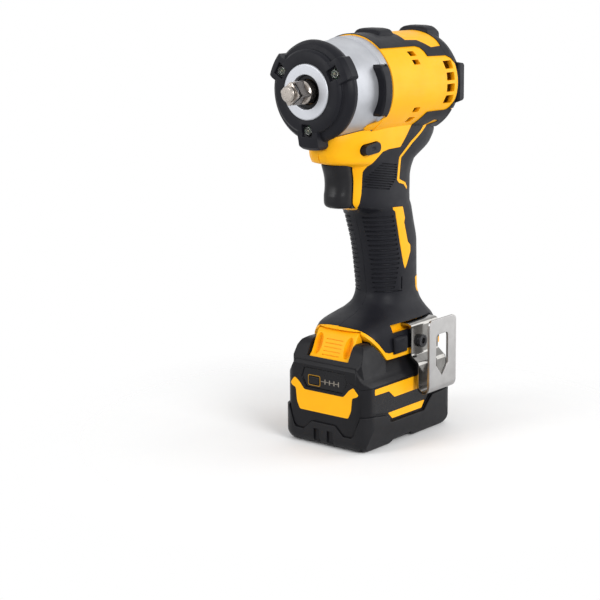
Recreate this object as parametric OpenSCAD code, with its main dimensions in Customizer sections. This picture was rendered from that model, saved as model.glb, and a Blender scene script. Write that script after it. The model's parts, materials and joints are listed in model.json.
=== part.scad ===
// Compact square-drive impact wrench with a slide-on battery, as an assembly of separate pieces.
// Frame: origin at the centre of the battery's underside, +Z up, nose towards -Y, left side +X. Units mm.

/* [Head] */
// Height of the drive axis above the base
axis_z = 194.5; // [190:0.5:200]
// Distance of the nose face ahead of the base centre
nose_ahead = 54.5; // [53:0.5:56]
// Bare gearcase length from the nose face to the housing edge
gearcase_len = 38.9; // [38.5:0.1:40]
// Radius of the housing barrel
barrel_r = 28.3; // [28.2:0.1:29.5]
// Wall of the housing barrel
barrel_wall = 2.85; // [2.5:0.05:2.9]
// Thickness of the soft overmould on the handle
skin = 1.6; // [1.2:0.1:2]
// Thickness of the soft overmould on the barrel
band = 0.5; // [0.4:0.1:0.8]
// Radius of the bright nose ring
nose_r = 14.8; // [14:0.1:15]
// Largest radius of the nose bumper
bumper_r = 27; // [26.8:0.1:28]
// Reach of the bumper's lower block
block_r = 30.9; // [30.5:0.1:31.1]
// Half width of a corner block
block_half = 6.5; // [6:0.1:7.5]

/* [Drive] */
// Square drive across flats, a 3/8 inch drive
drive_af = 9.525; // [9.4:0.005:9.6]
// Reach of the drive ahead of the nose face
drive_len = 15; // [13:0.5:17]
// Radius of the anvil journal
journal_r = 6.2; // [6:0.1:6.6]
// Turn of the square about the drive axis
drive_turn = 53; // [0:1:89]
// Hammer travel against its spring
hammer_travel = 6; // [4:0.5:6.5]
// Radius of the hammer
hammer_r = 20.6; // [20:0.1:21]

/* [Gear train] */
// Gear module
gear_m = 0.8; // [0.78:0.01:0.81]
// Teeth on the rotor pinion
sun_t = 12; // [12:12:12]
// Teeth on each planet
planet_t = 18; // [18:18:18]
// Teeth inside the ring gear
ring_t = 48; // [48:48:48]
// Width of the planets
planet_w = 6.2; // [5.5:0.1:6.6]
// Thinning of each tooth for backlash
backlash = 0.14; // [0.1:0.01:0.2]

/* [Motor] */
// Length of the lamination stack
stator_len = 18; // [17:0.5:18.5]
// Radius of the rotor
rotor_r = 12.4; // [12:0.1:12.5]
// Radius of the rotor shaft
shaft_r = 2.5; // [2.4:0.05:2.6]
// Radius of the fan
fan_r = 20.5; // [19:0.5:22]

/* [Handle] */
// Half width of the grip
grip_half = 15.4; // [15:0.1:16.5]
// Wall of the moulded core inside the overmould
core_wall = 2.8; // [2.4:0.1:3]
// Half width of the trigger
trigger_half = 8.2; // [7.5:0.1:8.6]
// Trigger travel
trigger_travel = 6; // [4:0.5:6.5]
// Half length of the direction button across the tool
button_half = 18.8; // [18.2:0.1:19.5]
// Direction button travel each way
button_travel = 3; // [2:0.5:3.5]
// Half width of the foot
foot_half = 24.6; // [24:0.1:25.2]

/* [Belt hook] */
// Sheet thickness of the hook
hook_t = 1.5; // [1.2:0.1:1.8]
// Width of the hook strip
hook_w = 25.5; // [22:0.5:27]
// Middle of the outer leg from the centre plane
hook_out = 38.6; // [38:0.1:41]
// Radius of the hook screw's thread
hook_screw_r = 2; // [1.8:0.1:2.2]

/* [Battery] */
// Half width of the battery case's upper part
case_half = 25.2; // [25:0.1:26]
// Half width of the battery base
base_half = 28; // [27.6:0.1:28.4]
// Half length of the battery case
case_len = 40.2; // [39.8:0.1:41.5]
// Thickness of the rubber boot
boot_t = 1.3; // [1:0.1:1.6]
// Height of the battery deck under the foot
deck_z = 46.4; // [46.2:0.1:46.5]
// Radius of a cell
cell_r = 9.15; // [9:0.05:9.25]
// Length of a cell
cell_len = 65; // [64:0.5:65.5]
// Latch button travel
latch_travel = 3; // [2:0.5:3.5]
// Gauge button travel
gauge_travel = 0.8; // [0.5:0.1:1]

/* [Fits] */
// Gap between pieces that slide past each other
slide_gap = 0.35; // [0.3:0.05:0.45]
// Radial clearance of a turning fit
turn_gap = 0.06; // [0.03:0.01:0.09]
// Radial clearance of a seated piece
seat_gap = 0.05; // [0.03:0.01:0.1]

/* [Hidden] */
$fn = 72;

ny = -nose_ahead;
hz = axis_z;
// Stations along the drive axis, measured back from the nose face.
wall_z = 4.4;
bush_end = 15;
chamber_z = 15.4;
ear_z = 16.25;
ear_end = 22;
hammer_z = ear_end + 0.6;
hammer_end = hammer_z + 14.4;
carrier_z = hammer_end + hammer_travel + 3.8;
planet_z = carrier_z + 2.8 + 0.3;
plate_z = planet_z + planet_w + 0.3;
plate_end = plate_z + 2;
bearing_z = plate_end + 0.6;
bearing_end = bearing_z + 4.4;
front_bearing_z = bearing_end + 1.6;
front_bearing_end = front_bearing_z + 4;
coil_z = front_bearing_end + 1;
stator_z = coil_z + 2.4;
stator_end = stator_z + stator_len;
coil_end = stator_end + 2.4;
fan_z = coil_end + 1.2;
fan_end = fan_z + 5.4;
back_z = fan_end + 0.6;
barrel_end = back_z + 5;
bore_r = barrel_r - barrel_wall;
spigot_r = bore_r - 0.15;
chamber_r = hammer_r + 1.7;
nose_wall_r = bumper_r - 1.8;
pad_end = 35.6;
pad_seat_r = nose_wall_r + (barrel_r - 1.9 - nose_wall_r) * (26.4 - 11) / 19 + seat_gap;
spindle_r = 8.4;
pin_at = gear_m * (sun_t + planet_t) / 2;
pin_r = 2.2;
hub_r = 8;
hub_bore = 5.8;
plate_r = 16;
ring_out = 22.6;
ball_r = 2.6;
ball_z = hammer_z + 3.6;
trig_z0 = hz - 64;
trig_z1 = hz - 40.2;
button_y = ny + 33.4;
button_z = hz - barrel_r - 3.1;
hook_y0 = 3.2;
hook_screw_y = 11.5;
hook_screw_z = 53.6;
tab_x = foot_half + 1.75;
strip_x = tab_x + 5;
slot_top = 57.7;
tower_top = slot_top - slide_gap;
latch_z0 = 44.6;
latch_half = 13.8;
latch_front = 3.2 - case_len;
latch_back = -24.4;
latch_top = 62.8;
room_top = latch_top + 0.5;
gauge_inset = 0.4;
gauge_edge = [[-13.8, 42.5], [13.8, 42.5], [15.4, 37.6], [12.2, 32], [-12.2, 32], [-15.4, 37.6]];
gauge_btn = [-10.4, -3.6, 33.9, 38.1];
// Screw places along the seam, as distance behind the nose and height.
seam_screws = [[ny + 18, hz - 33.5], [ny + 91, hz - 33.6], [22.6, 147], [-5, 125.5], [25, 80.5], [-14,
    61.6]];

// Loft sections of the neck, handle and foot: height, front, back, half width, squareness, drop of the core.
body_sections = [
    [44, -29.8, 44.3, foot_half, 4.2, 0],
    [52, -30, 44.3, foot_half, 4.2, 0],
    [59, -30, 43.6, foot_half - 0.6, 3.6, 0],
    [64.2, -28.6, 42, foot_half - 2.2, 3.1, -1.1],
    [67, -22, 40.2, foot_half - 4, 2.8, -1.3],
    [70, -12, 38.6, foot_half - 6.6, 2.6, -1.0],
    [74, -5.5, 36.8, grip_half + 0.5, 2.4, -0.4],
    [80, -2.6, 34.5, grip_half - 0.4, 2.4, 0],
    [92, -4, 34.2, grip_half - 0.2, 2.4, 0],
    [106, -6.6, 34, grip_half, 2.4, 0],
    [119, -10.6, 30.7, grip_half + 0.3, 2.4, 0],
    [126.5, -14, 28.9, grip_half + 0.4, 2.4, 0],
    [hz - 64.3, -25.5, 28.4, grip_half + 0.5, 2.4, 0],
    [hz - 61, -28.5, 28.5, grip_half + 0.6, 2.4, 0],
    [hz - 50, -27.8, 28.6, grip_half + 0.8, 2.4, 0],
    [hz - 41.6, -28.8, 32, grip_half + 1.2, 2.5, 0],
    [hz - 38.6, ny + 12.4, 39.2, grip_half + 1.6, 2.5, 0],
    [hz - 33.5, ny + 10.2, 47.8, grip_half + 2.3, 2.5, 0],
    [hz - 26.5, ny + 10.4, 51.4, grip_half + 3, 2.6, 0],
    [hz - 17, ny + 14, 49, grip_half + 3.2, 2.6, 0]];

// Edge of the hard side panel in the side view, from the top front round the rear to the trigger.
panel_edge = [[ny + 38.9, hz + 21.3], [ny + 70.3, hz + 21.2], [ny + 73.4, hz + 20.4], [ny + 75, hz + 18.4],
    [ny + 75.6, hz + 15.6], [ny + 92.5, hz + 15.2], [ny + 96.3, hz + 13.6], [ny + 98.6, hz + 10],
    [ny + 98.9, hz + 4], [ny + 98.9, hz - 6], [ny + 97.8, hz - 10.4], [ny + 95, hz - 13.6],
    [ny + 91, hz - 14.8], [ny + 75, hz - 14.4], [ny + 73, hz - 16.6], [ny + 59.4, hz - 33],
    [ny + 49, hz - 33.2], [ny + 44, hz - 34.2], [ny + 37.5, hz - 39],
    [ny + 33.4, hz - 43.6], [ny + 32.3, hz - 46.4], [ny + 31.8, hz - 54], [ny + 31.2, hz - 59], [ny + 29.4, hz - 63],
    [ny + 26.4, hz - 65.4], [ny + 22, hz - 66.2], [ny - 6, hz - 66.2]];
// Bare inlays of the hard shell that show through the overmould.
badge_edge = [[0.8, 128.7], [10.2, 128], [12.3, 121.4], [11.6, 119], [15.4, 107.6], [18, 105.4],
    [18.2, 101.8], [14.6, 94.4], [13.2, 92.4], [11.8, 95], [3.2, 126], [1.2, 127.2]];
stripe_edge = [[ny + 93, hz - 21], [ny + 87.4, hz - 20.2], [ny + 82.6, hz - 22.4], [ny + 78.2, hz - 25.6],
    [ny + 69.2, hz - 30.6], [ny + 59.6, hz - 38.4], [ny + 58.7, hz - 51.2], [ny + 60.6, hz - 53], [ny + 65.8, hz - 54.4],
    [ny + 69.8, hz - 57.8], [ny + 70.4, hz - 56.4], [ny + 67.8, hz - 53.4], [ny + 63.4, hz - 51.8], [ny + 61, hz - 50.8],
    [ny + 61.6, hz - 39], [ny + 71, hz - 31.8], [ny + 80.2, hz - 26.4], [ny + 85.4, hz - 23.2], [ny + 90.4, hz - 22]];
// Lower edge of the foot's soft cover in the side view.
lip_edge = [[-40, 66.6], [-28.4, 66.2], [-24.4, 62.4], [-16.4, 51.6], [-13.4, 50.6], [60, 50.2]];

function sgn(v) = v < 0 ? -1 : 1;
function ring_pt(t, a, b, n) = [a * sgn(cos(t)) * pow(abs(cos(t)), 2 / n),
    b * sgn(sin(t)) * pow(abs(sin(t)), 2 / n)];
function section_pts(s, inset, drop, count) = [for (i = [0:count - 1])
    let (p = ring_pt(360 * i / count, s[3] - inset, (s[2] - s[1]) / 2 - inset, s[4]))
    [p[0], p[1] + (s[1] + s[2]) / 2, s[0] + drop * s[5]]];
function ring_faces(rings, count) = concat(
    [[for (i = [0:count - 1]) i]],
    [for (k = [0:rings - 2], i = [0:count - 1]) each [
        [k * count + i, (k + 1) * count + i, (k + 1) * count + (i + 1) % count],
        [k * count + i, (k + 1) * count + (i + 1) % count, k * count + (i + 1) % count]]],
    [[for (i = [0:count - 1]) rings * count - 1 - i]]);

// Coil spring as one tube along Z from z0 to z1.
function coil_pts(r, wire, z0, z1, turns, per, sides) = [for (k = [0:turns * per])
    let (a = 360 * k / per, z = z0 + (z1 - z0) * k / (turns * per)) for (i = [0:sides - 1])
    let (b = 360 * i / sides, q = r + wire * cos(b)) [q * cos(a), q * sin(a), z + wire * sin(b)]];
module coil(r, wire, z0, z1, turns, per, sides)
    polyhedron(coil_pts(r, wire, z0, z1, turns, per, sides), ring_faces(turns * per + 1, sides),
        convexity = 8);

// Involute tooth outline between root radius rf and tip radius ra.
function inv_deg(a) = tan(a) * 180 / PI - a;
function half_tooth(r, z, thin) = let (rp = gear_m * z / 2, rb = rp * cos(25))
    90 / z - thin / 2 / rp * 180 / PI + inv_deg(25) - inv_deg(acos(min(1, rb / max(r, rb))));
function gear_pts(z, ra, rf, thin) = let (rb = gear_m * z / 2 * cos(25), r1 = max(rb, rf) + 0.03,
    r2 = (r1 + ra) / 2)
    [for (i = [0:z - 1]) each [for (p = [[rf, -1], [r1, -1], [r2, -1], [ra, -1], [ra, 1], [r2, 1], [r1,
        1], [rf, 1]])
        let (a = 360 * i / z + p[1] * half_tooth(p[0], z, thin)) [p[0] * cos(a), p[0] * sin(a)]]];

module head() translate([0, ny, hz]) rotate([-90, 0, 0]) children();
module front(y0, y1) translate([0, y1, 0]) rotate([90, 0, 0]) linear_extrude(height = y1 - y0) children();
module side(x0, x1) translate([x0, 0, 0]) rotate([90, 0, 90]) linear_extrude(height = x1 - x0) children();
module turned(pts) head() rotate_extrude() polygon(pts);
module tube(r0, r1, z0, z1) turned([[r0, z0], [r1, z0], [r1, z1], [r0, z1]]);
module cut_box(x0, x1, y0, y1, z0, z1) translate([x0, y0, z0]) cube([x1 - x0, y1 - y0, z1 - z0]);
module mid_box(x, y0, y1, z0, z1) cut_box(-x, x, y0, y1, z0, z1);
module across(y, z, r, x0, x1) translate([x0, y, z]) rotate([0, 90, 0]) cylinder(r = r, h = x1 - x0);
module half(s) if (s > 0) { cut_box(0, 60, -90, 90, -5, 250); } else { cut_box(-60, 0, -90, 90, -5, 250); }

module loft(inset, drop, count) {
    polyhedron([for (s = body_sections) each section_pts(s, inset, drop, count)],
        ring_faces(len(body_sections), count), convexity = 6);
}
module barrel_form(grow) turned([[0, gearcase_len], [barrel_r + grow, gearcase_len], [barrel_r + grow,
    barrel_end - 9],
    [barrel_r - 0.9 + grow, barrel_end - 4], [barrel_r - 3.8 + grow, barrel_end + 1.5 * grow],
    [0, barrel_end + 1.5 * grow]]);
module outer_form() { loft(0, 0, 32); barrel_form(0); }
module soft_form() { loft(0, 0, 32); barrel_form(band); }
module core_form() { loft(skin, 1, 32); barrel_form(0); }
module panel_zone() polygon(concat(panel_edge, [[ny - 6, hz + 21.3]]));
module hard_zone() {
    panel_zone();
    polygon(badge_edge);
    polygon(stripe_edge);
    polygon(concat(lip_edge, [[60, 20], [-40, 20]]));
}
// Bare strip of the shell at the lower back of the handle.
module back_inlay() front(25, 60) polygon([[-12, 76.9], [12, 76.9], [11.2, 86.4], [-11.2, 86.4]]);
module handle_hollow() intersection() {
    loft(skin + core_wall, 1, 16);
    mid_box(40, -22, 60, 73, hz - 37.6);
}
module battery_slot() {
    mid_box(15.4, -60, 34, 30, 52);
    mid_box(17.8, -60, 34, 51.8, slot_top);
}
// Room for the latch and the battery's front shoulders under the foot.
module front_room() {
    side(-40, 40) polygon([[-50, room_top], [-27.4, room_top], [-15.2, 47], [60, 47], [60, 30], [-50, 30]]);
    mid_box(latch_half + slide_gap, -60, latch_back + slide_gap, 47, room_top);
}
module hook_slot(s) cut_box(min(s * 19.3, s * 32), max(s * 19.3, s * 32), -8.8, 31, 60.6, 64.9);
module vents() for (s = [-1, 1]) side(s > 0 ? bore_r - 12 : -40, s > 0 ? 40 : 12 - bore_r) {
    for (v = [[60.2, 16.2, -0.9], [60.6, 11.8, -0.6], [61, -13.8, 0.6], [60.4, -19.2, 1.6]])
        translate([ny + v[0], hz + v[1]]) polygon([[0, 2.5], [5.6, 2.5], [5.6 - v[2], 0], [-v[2], 0]]);
    for (i = [0:3]) translate([ny + 88.6, hz + 8 - 6.3 * i]) polygon([[i == 0 ? -0.8 : 0, 4.3], [7.2,
        4.3], [7.2, 0], [i == 3 ? -1.4 : 0, 0]]);
}
module button_shape(grow) translate([button_y, button_z]) {
    translate([-3.6, -0.5]) circle(r = 2.7 + grow);
    translate([4.4, 0.3]) circle(r = 2.9 + grow);
    polygon([[-3.6, -3.2 - grow], [4.4, -2.6 - grow], [4.4, 3.2 + grow], [-3.6, 2.2 + grow]]);
}
module gear_recess() {
    turned([[0, -1], [nose_r + 9, -1], [nose_wall_r + 0.25, 7], [nose_wall_r + 0.25, 11],
        [barrel_r - 1.7, 30],
        [barrel_r - 1.5, 33.2], [barrel_r - 0.35, 33.8], [barrel_r - 0.35, gearcase_len], [0,
            gearcase_len]]);
    mid_box(14, ny - 5, ny + 11.2, hz - block_r - 0.4, hz);
}
// Lower collar that carries the front edge of the barrel into the neck.
module collar() intersection() {
    tube(22, barrel_r, 33.5, gearcase_len + 0.5);
    side(-40, 40) polygon([[ny + 39.4, hz - 11], [ny + 38.9, hz - 11], [ny + 36.6, hz - 15.4], [ny + 34.6, hz - 20],
        [ny + 33.5, hz - 26], [ny + 33.5, hz - 40], [ny + 39.4, hz - 40]]);
}
module bosses() intersection() {
    union() {
        for (p = seam_screws) { across(p[0], p[1], 3.4, -40, 40); }
    }
    loft(skin, 1, 16);
}
module seam_holes(s) for (p = seam_screws) {
    across(p[0], p[1], 1.3, s > 0 ? -1 : -40, s > 0 ? 8.5 : 1);
    if (s < 0) { across(p[0], p[1], 2.9, -40, -7); }
}
module hook_boss(s) across(hook_screw_y, hook_screw_z, 4.6, s > 0 ? 19 : -tab_x + hook_t / 2,
    s > 0 ? tab_x - hook_t / 2 : -19);

module housing_half(s) difference() {
    intersection() {
        union() {
            difference() {
                union() {
                    core_form();
                    collar();
                    intersection() {
                        outer_form();
                        union() {
                            side(-40, 40) hard_zone();
                            back_inlay();
                        }
                    }
                }
                handle_hollow();
            }
            bosses();
            hook_boss(s);
        }
        half(s);
    }
    tube(0, bore_r, gearcase_len - 1, back_z);
    tube(0, 6.5 + seat_gap, back_z - 1, back_z + 3.9);
    gear_recess();
    vents();
    side(-40, 40) button_shape(slide_gap);
    mid_box(trigger_half + slide_gap, -60, -12, trig_z0 - slide_gap, trig_z1 + slide_gap);
    front_room();
    battery_slot();
    hook_slot(s);
    across(hook_screw_y, hook_screw_z, hook_screw_r + 0.05, s > 0 ? 18.5 : -40, s > 0 ? 40 : -18.5);
    seam_holes(s);
}
module grip_half_form(s) difference() {
    union() {
        intersection() {
            difference() {
                soft_form();
                core_form();
                side(-40, 40) hard_zone();
                back_inlay();
            }
            half(s);
            cut_box(-60, 60, -60, ny + 120, 40, hz - 14.6);
        }
        intersection() {
            cut_box(s > 0 ? foot_half - 0.05 : -foot_half - 2.6,
                s > 0 ? foot_half + 2.6 : 0.05 - foot_half, -10.4, 0.8, 49.4,
                58.6);
            half(s);
        }
    }
    gear_recess();
    front_room();
    mid_box(trigger_half + slide_gap, -60, -12, trig_z0 - slide_gap, trig_z1 + slide_gap);
    hook_slot(s);
    hook_boss(s);
    for (p = seam_screws) { if (s < 0) { across(p[0], p[1], 2.9, -40, -7); } }
    tube(0, barrel_r, gearcase_len - 1, barrel_end);
}

module housing_left() color([0.98, 0.72, 0.06]) housing_half(1);
module housing_right() color([0.98, 0.72, 0.06]) housing_half(-1);
module grip_left() color([0.14, 0.14, 0.16]) grip_half_form(1);
module grip_right() color([0.14, 0.14, 0.16]) grip_half_form(-1);

// Opening in the soft top for the bare yellow patch.
module top_window() translate([0, 0, hz]) linear_extrude(height = 40) polygon([[-15, ny + 66.8], [15, ny + 66.8],
    [15.6, ny + 76.4], [20.6, ny + 83.4], [20.2, ny + 93.2], [16, ny + 94.6], [-16, ny + 94.6], [-20.2, ny + 93.2],
    [-20.6, ny + 83.4], [-15.6, ny + 76.4]]);
module top_bumper() color([0.14, 0.14, 0.16]) difference() {
    union() {
        intersection() {
            barrel_form(band);
            side(-40, 40) polygon([[ny + 38.9, hz + 21.3], [ny + 70.3, hz + 21.2], [ny + 73.4, hz + 20.4],
                [ny + 75, hz + 18.4], [ny + 75.6, hz + 15.6], [ny + 92.5, hz + 15.2], [ny + 92.5, hz + 40],
                [ny + 38.9, hz + 40]]);
        }
        intersection() {
            side(-10, 10) polygon([[ny + 50.6, hz + 20], [ny + 51.8, hz + 29], [ny + 53.8, hz + 31],
                [ny + 63.2, hz + 31], [ny + 65, hz + 29.4], [ny + 65.8, hz + 20]]);
            front(ny, ny + 90) polygon([[-9, hz + 20], [-9, hz + 27.8], [-7.2, hz + 31], [7.2, hz + 31],
                [9, hz + 27.8], [9, hz + 20]]);
            tube(0, barrel_r + 2.9, gearcase_len, barrel_end);
        }
    }
    barrel_form(0);
    top_window();
}
module rear_pad_edge() front(ny, ny + 120) polygon([[-10, hz + 16], [-10, hz + 27.2], [-8, hz + 31], [8, hz + 31],
    [10, hz + 27.2], [10, hz + 16]]);
module rear_bumper() color([0.14, 0.14, 0.16]) difference() {
    union() {
        intersection() {
            barrel_form(band);
            difference() {
                cut_box(-60, 60, ny + 92.5, 90, hz - 14.6, hz + 60);
                side(-40, 40) polygon([[ny + 91, hz + 15.2], [ny + 92.5, hz + 15.2], [ny + 96.3,
                    hz + 13.6], [ny + 98.6, hz + 10],
                    [ny + 98.9, hz + 4], [ny + 98.9, hz - 6], [ny + 97.8, hz - 10.4], [ny + 95, hz - 13.6],
                    [ny + 91, hz - 15.6]]);
            }
        }
        intersection() {
            side(-12, 12) polygon([[ny + 94.7, hz + 20], [ny + 94.9, hz + 29.2], [ny + 96.4, hz + 31], [ny + 102.4, hz + 31],
                [ny + 104.8, hz + 29.6], [ny + 106.4, hz + 26.4], [ny + 107, hz + 18]]);
            rear_pad_edge();
            tube(0, barrel_r + 2.9, gearcase_len, barrel_end + 4);
        }
        for (s = [-1, 1]) intersection() {
            linear_extrude(height = 300) polygon([[s * 18.4, ny + 107], [s * 20.4, ny + 108.8],
                [s * 25.2, ny + 108.8],
                [s * 27.6, ny + 106.2], [s * 28.2, ny + 100], [s * 18, ny + 100]]);
            side(-60, 60) polygon([[ny + 100, hz - 11.2], [ny + 106.4, hz - 10.4], [ny + 108.8, hz - 8],
                [ny + 108.8, hz + 8],
                [ny + 106.4, hz + 10.4], [ny + 100, hz + 11.2]]);
            tube(0, barrel_r + 1.6, gearcase_len, barrel_end + 6);
        }
    }
    barrel_form(0);
    top_window();
}
module side_pads() color([0.14, 0.14, 0.16]) for (s = [-1, 1]) intersection() {
    side(s > 0 ? 20 : -40, s > 0 ? 40 : -20) polygon([[ny + 28.6, hz - 13.4], [ny + 27.4, hz - 11.8],
        [ny + 28.3, hz - 5], [ny + 28.3, hz + 5], [ny + 27.4, hz + 12], [ny + 28.6, hz + 13.6],
         [ny + pad_end - 1.2, hz + 13.6],
        [ny + pad_end, hz + 12.4], [ny + pad_end, hz - 12.2], [ny + pad_end - 1.2, hz - 13.4]]);
    turned([[pad_seat_r, 26.4], [barrel_r + 2.2, 26.4], [barrel_r + 2.9, 28.6],
        [barrel_r + 2.9, pad_end - 1.8], [barrel_r + 1.8, pad_end + 0.2], [barrel_r - 0.6 + seat_gap,
            pad_end + 0.2],
        [barrel_r - 0.6 + seat_gap, 33.6], [barrel_r - 1.7 + seat_gap, 33], [barrel_r - 1.9 + seat_gap,
            30]]);
}

module gearcase() color([0.78, 0.79, 0.81]) turned([[9.1, 0], [nose_r - 0.5, 0], [nose_r, 0.5], [nose_r,
    wall_z],
    [nose_wall_r - 2.5, wall_z], [nose_wall_r, 7], [nose_wall_r, 11], [barrel_r - 1.9, 30],
        [barrel_r - 1.7, 33],
    [barrel_r - 0.6, 33.6], [barrel_r - 0.6, gearcase_len - 0.05], [spigot_r, gearcase_len - 0.05],
    [spigot_r, carrier_z - 0.8], [chamber_r, carrier_z - 0.8], [chamber_r, chamber_z], [8.2 + seat_gap,
        chamber_z],
    [8.2 + seat_gap, 4.2], [9.1, 4.2]]);
module nose_bumper() color([0.13, 0.13, 0.14]) difference() {
    union() {
        turned([[nose_r + 0.1, 0.5], [18.4, 0.2], [bumper_r - 6, 0.8], [bumper_r - 4.8, 2],
            [bumper_r - 4.8, 3.6],
            [bumper_r - 2.2, 4.4], [bumper_r - 0.6, 6.2], [bumper_r, 8], [bumper_r - 0.7, 10.9],
                [nose_wall_r + 0.1, 10.9],
            [nose_wall_r + 0.1, 7], [nose_wall_r - 2.5, wall_z - seat_gap], [nose_r + 0.1,
                wall_z - seat_gap]]);
        head() for (b = [[90, block_r], [210, block_r - 2.2], [330, block_r - 2.2]]) rotate(b[0]) intersection() {
            linear_extrude(height = 20) polygon([[16, -block_half], [b[1] - 2, -block_half],
                [b[1] + 2, 2.4 - block_half], [b[1] + 2, block_half - 2.4], [b[1] - 2, block_half], [16, block_half]]);
            rotate_extrude() polygon([[16, 1.2], [24.6, 1.2], [b[1] - 1.6, 2.2], [b[1], 4.4], [b[1], 10],
                [b[1] - 0.8, 10.9], [nose_wall_r + 0.15, 10.9], [nose_wall_r + 0.15, 6.9],
                    [nose_wall_r - 2.4, wall_z - seat_gap],
                [16, wall_z - seat_gap]]);
        }
    }
    tube(nose_r - 0.4, bumper_r - 5, 3.1, wall_z + 1);
    head() for (a = [90, 210, 330]) rotate(a) {
        translate([20.4, 0, -1]) cylinder(r = 2.7, h = 6);
        translate([17, -3.4, -1]) linear_extrude(height = 3.5) polygon([[0, 0.6], [0, 6.2], [6.6, 6.8], [6.6, 0]]);
    }
}
module light_board() color([0.05, 0.25, 0.12]) tube(nose_r + 0.2, bumper_r - 5.2, 3.25, wall_z - 0.05);
module light_lenses() color([0.95, 0.95, 0.88]) head() for (a = [90, 210,
    330]) rotate(a) translate([20.4, 0, 1.7]) {
    cylinder(r = 2.55, h = 1.5);
}
module anvil_bush() color([0.72, 0.52, 0.24]) tube(journal_r + turn_gap, 8.2, 4.3, bush_end);
module anvil_washer() color([0.3, 0.3, 0.32]) tube(journal_r + 0.2, 11.5, chamber_z + 0.05, ear_z - 0.1);
module anvil() color([0.55, 0.53, 0.51]) difference() {
    union() {
        head() rotate(drive_turn) intersection() {
            translate([-drive_af / 2, -drive_af / 2, -drive_len + 2.6]) cube([drive_af, drive_af,
                drive_len]);
            cylinder(r = journal_r - 0.05, h = 80, center = true);
        }
        turned([[0, -drive_len], [3.5, -drive_len], [4.25, 0.8 - drive_len], [4.25, 3 - drive_len], [0,
            3 - drive_len]]);
        turned([[0, -3.6], [journal_r - 0.8, -3.6], [journal_r, -2.6], [journal_r, ear_z + 0.2], [9,
            ear_z + 0.2], [9, ear_end], [0, ear_end]]);
        head() intersection() {
            translate([-5, -30, ear_z]) cube([10, 60, ear_end - ear_z]);
            cylinder(r = hammer_r - 0.4, h = 60);
        }
    }
    tube(0, 3.2, ear_end - 8.6, ear_end + 1);
    tube(3.5, 8, 3.4 - drive_len, 5.1 - drive_len);
}
module retaining_ring() color([0.35, 0.34, 0.33]) head() translate([0, 0,
    4.25 - drive_len]) rotate_extrude() translate([4.25, 0]) circle(r = 0.7, $fn = 24);
module hammer() color([0.42, 0.42, 0.44]) difference() {
    union() {
        turned([[spindle_r + turn_gap, hammer_z], [hammer_r - 0.8, hammer_z], [hammer_r, hammer_z + 0.8],
            [hammer_r, hammer_end - 0.8],
            [hammer_r - 0.8, hammer_end], [spindle_r + turn_gap, hammer_end]]);
        head() for (a = [0, 180]) rotate(a) intersection() {
            translate([11, -7, ear_z + 0.7]) cube([20, 14, hammer_z - ear_z]);
            cylinder(r = hammer_r - 0.4, h = 60);
        }
    }
    tube(11.9, 15.4, hammer_z + 5.4, hammer_end + 1);
    head() for (a = [90, 270]) rotate(a) translate([spindle_r + 0.2, 0,
        hammer_z - 1]) cylinder(r = ball_r + 0.12, h = ball_z - hammer_z + 1);
    head() for (a = [90, 270]) rotate(a) translate([spindle_r + 0.2, 0, ball_z]) sphere(r = ball_r + 0.12);
}
module hammer_spring() color([0.6, 0.6, 0.62]) head() coil(13.6, 1.05, hammer_z + 6.6, carrier_z - 1.15,
    4, 18, 6);
module cam_spindle() color([0.5, 0.5, 0.52]) difference() {
    union() {
        turned([[0, ear_end - 8], [3.2 - turn_gap, ear_end - 8], [3.2 - turn_gap, ear_end + 0.3],
            [spindle_r, ear_end + 0.3], [spindle_r, carrier_z],
            [plate_r, carrier_z], [plate_r, planet_z - 0.3], [0, planet_z - 0.3]]);
        turned([[hub_bore, plate_z], [plate_r, plate_z], [plate_r, plate_end], [hub_r, plate_end],
            [hub_r, bearing_end], [hub_bore, bearing_end]]);
        head() for (a = [60, 180, 300]) rotate(a) translate([12.8, 0, carrier_z + 1]) cylinder(r = 2.9,
            h = plate_end - carrier_z - 1.5);
    }
    head() for (a = [0, 120, 240]) rotate(a) translate([pin_at, 0,
        carrier_z - 1]) cylinder(r = pin_r + seat_gap, h = 30);
    head() for (a = [90, 270]) rotate(a) translate([spindle_r + 0.2, 0, ball_z]) sphere(r = ball_r + 0.04);
}
module cam_balls() color([0.8, 0.8, 0.82]) head() for (a = [90,
    270]) rotate(a) translate([spindle_r + 0.2, 0, ball_z]) sphere(r = ball_r);
module planet_pins() color([0.7, 0.7, 0.72]) head() for (a = [0, 120, 240]) rotate(a) translate([pin_at,
    0, carrier_z + 0.2]) cylinder(r = pin_r, h = plate_end - carrier_z - 0.4);
module planet(a) color([0.48, 0.47, 0.46]) head() rotate(a) translate([pin_at, 0,
    planet_z]) rotate(180 / planet_t) difference() {
    linear_extrude(height = planet_w) polygon(gear_pts(planet_t, gear_m * (planet_t / 2 + 0.8),
        gear_m * (planet_t / 2 - 1.05), backlash));
    translate([0, 0, -1]) cylinder(r = pin_r + turn_gap, h = planet_w + 2);
}
module planet_1() planet(0);
module planet_2() planet(120);
module planet_3() planet(240);
module ring_gear() color([0.45, 0.45, 0.47]) head() translate([0, 0, planet_z - 0.2]) difference() {
    cylinder(r = ring_out, h = planet_w + 0.4);
    translate([0, 0, -1]) linear_extrude(height = planet_w + 3) rotate(180 / ring_t)
        polygon(gear_pts(ring_t, gear_m * (ring_t / 2 + 1.05), gear_m * (ring_t / 2 - 0.8), -backlash));
}
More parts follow.
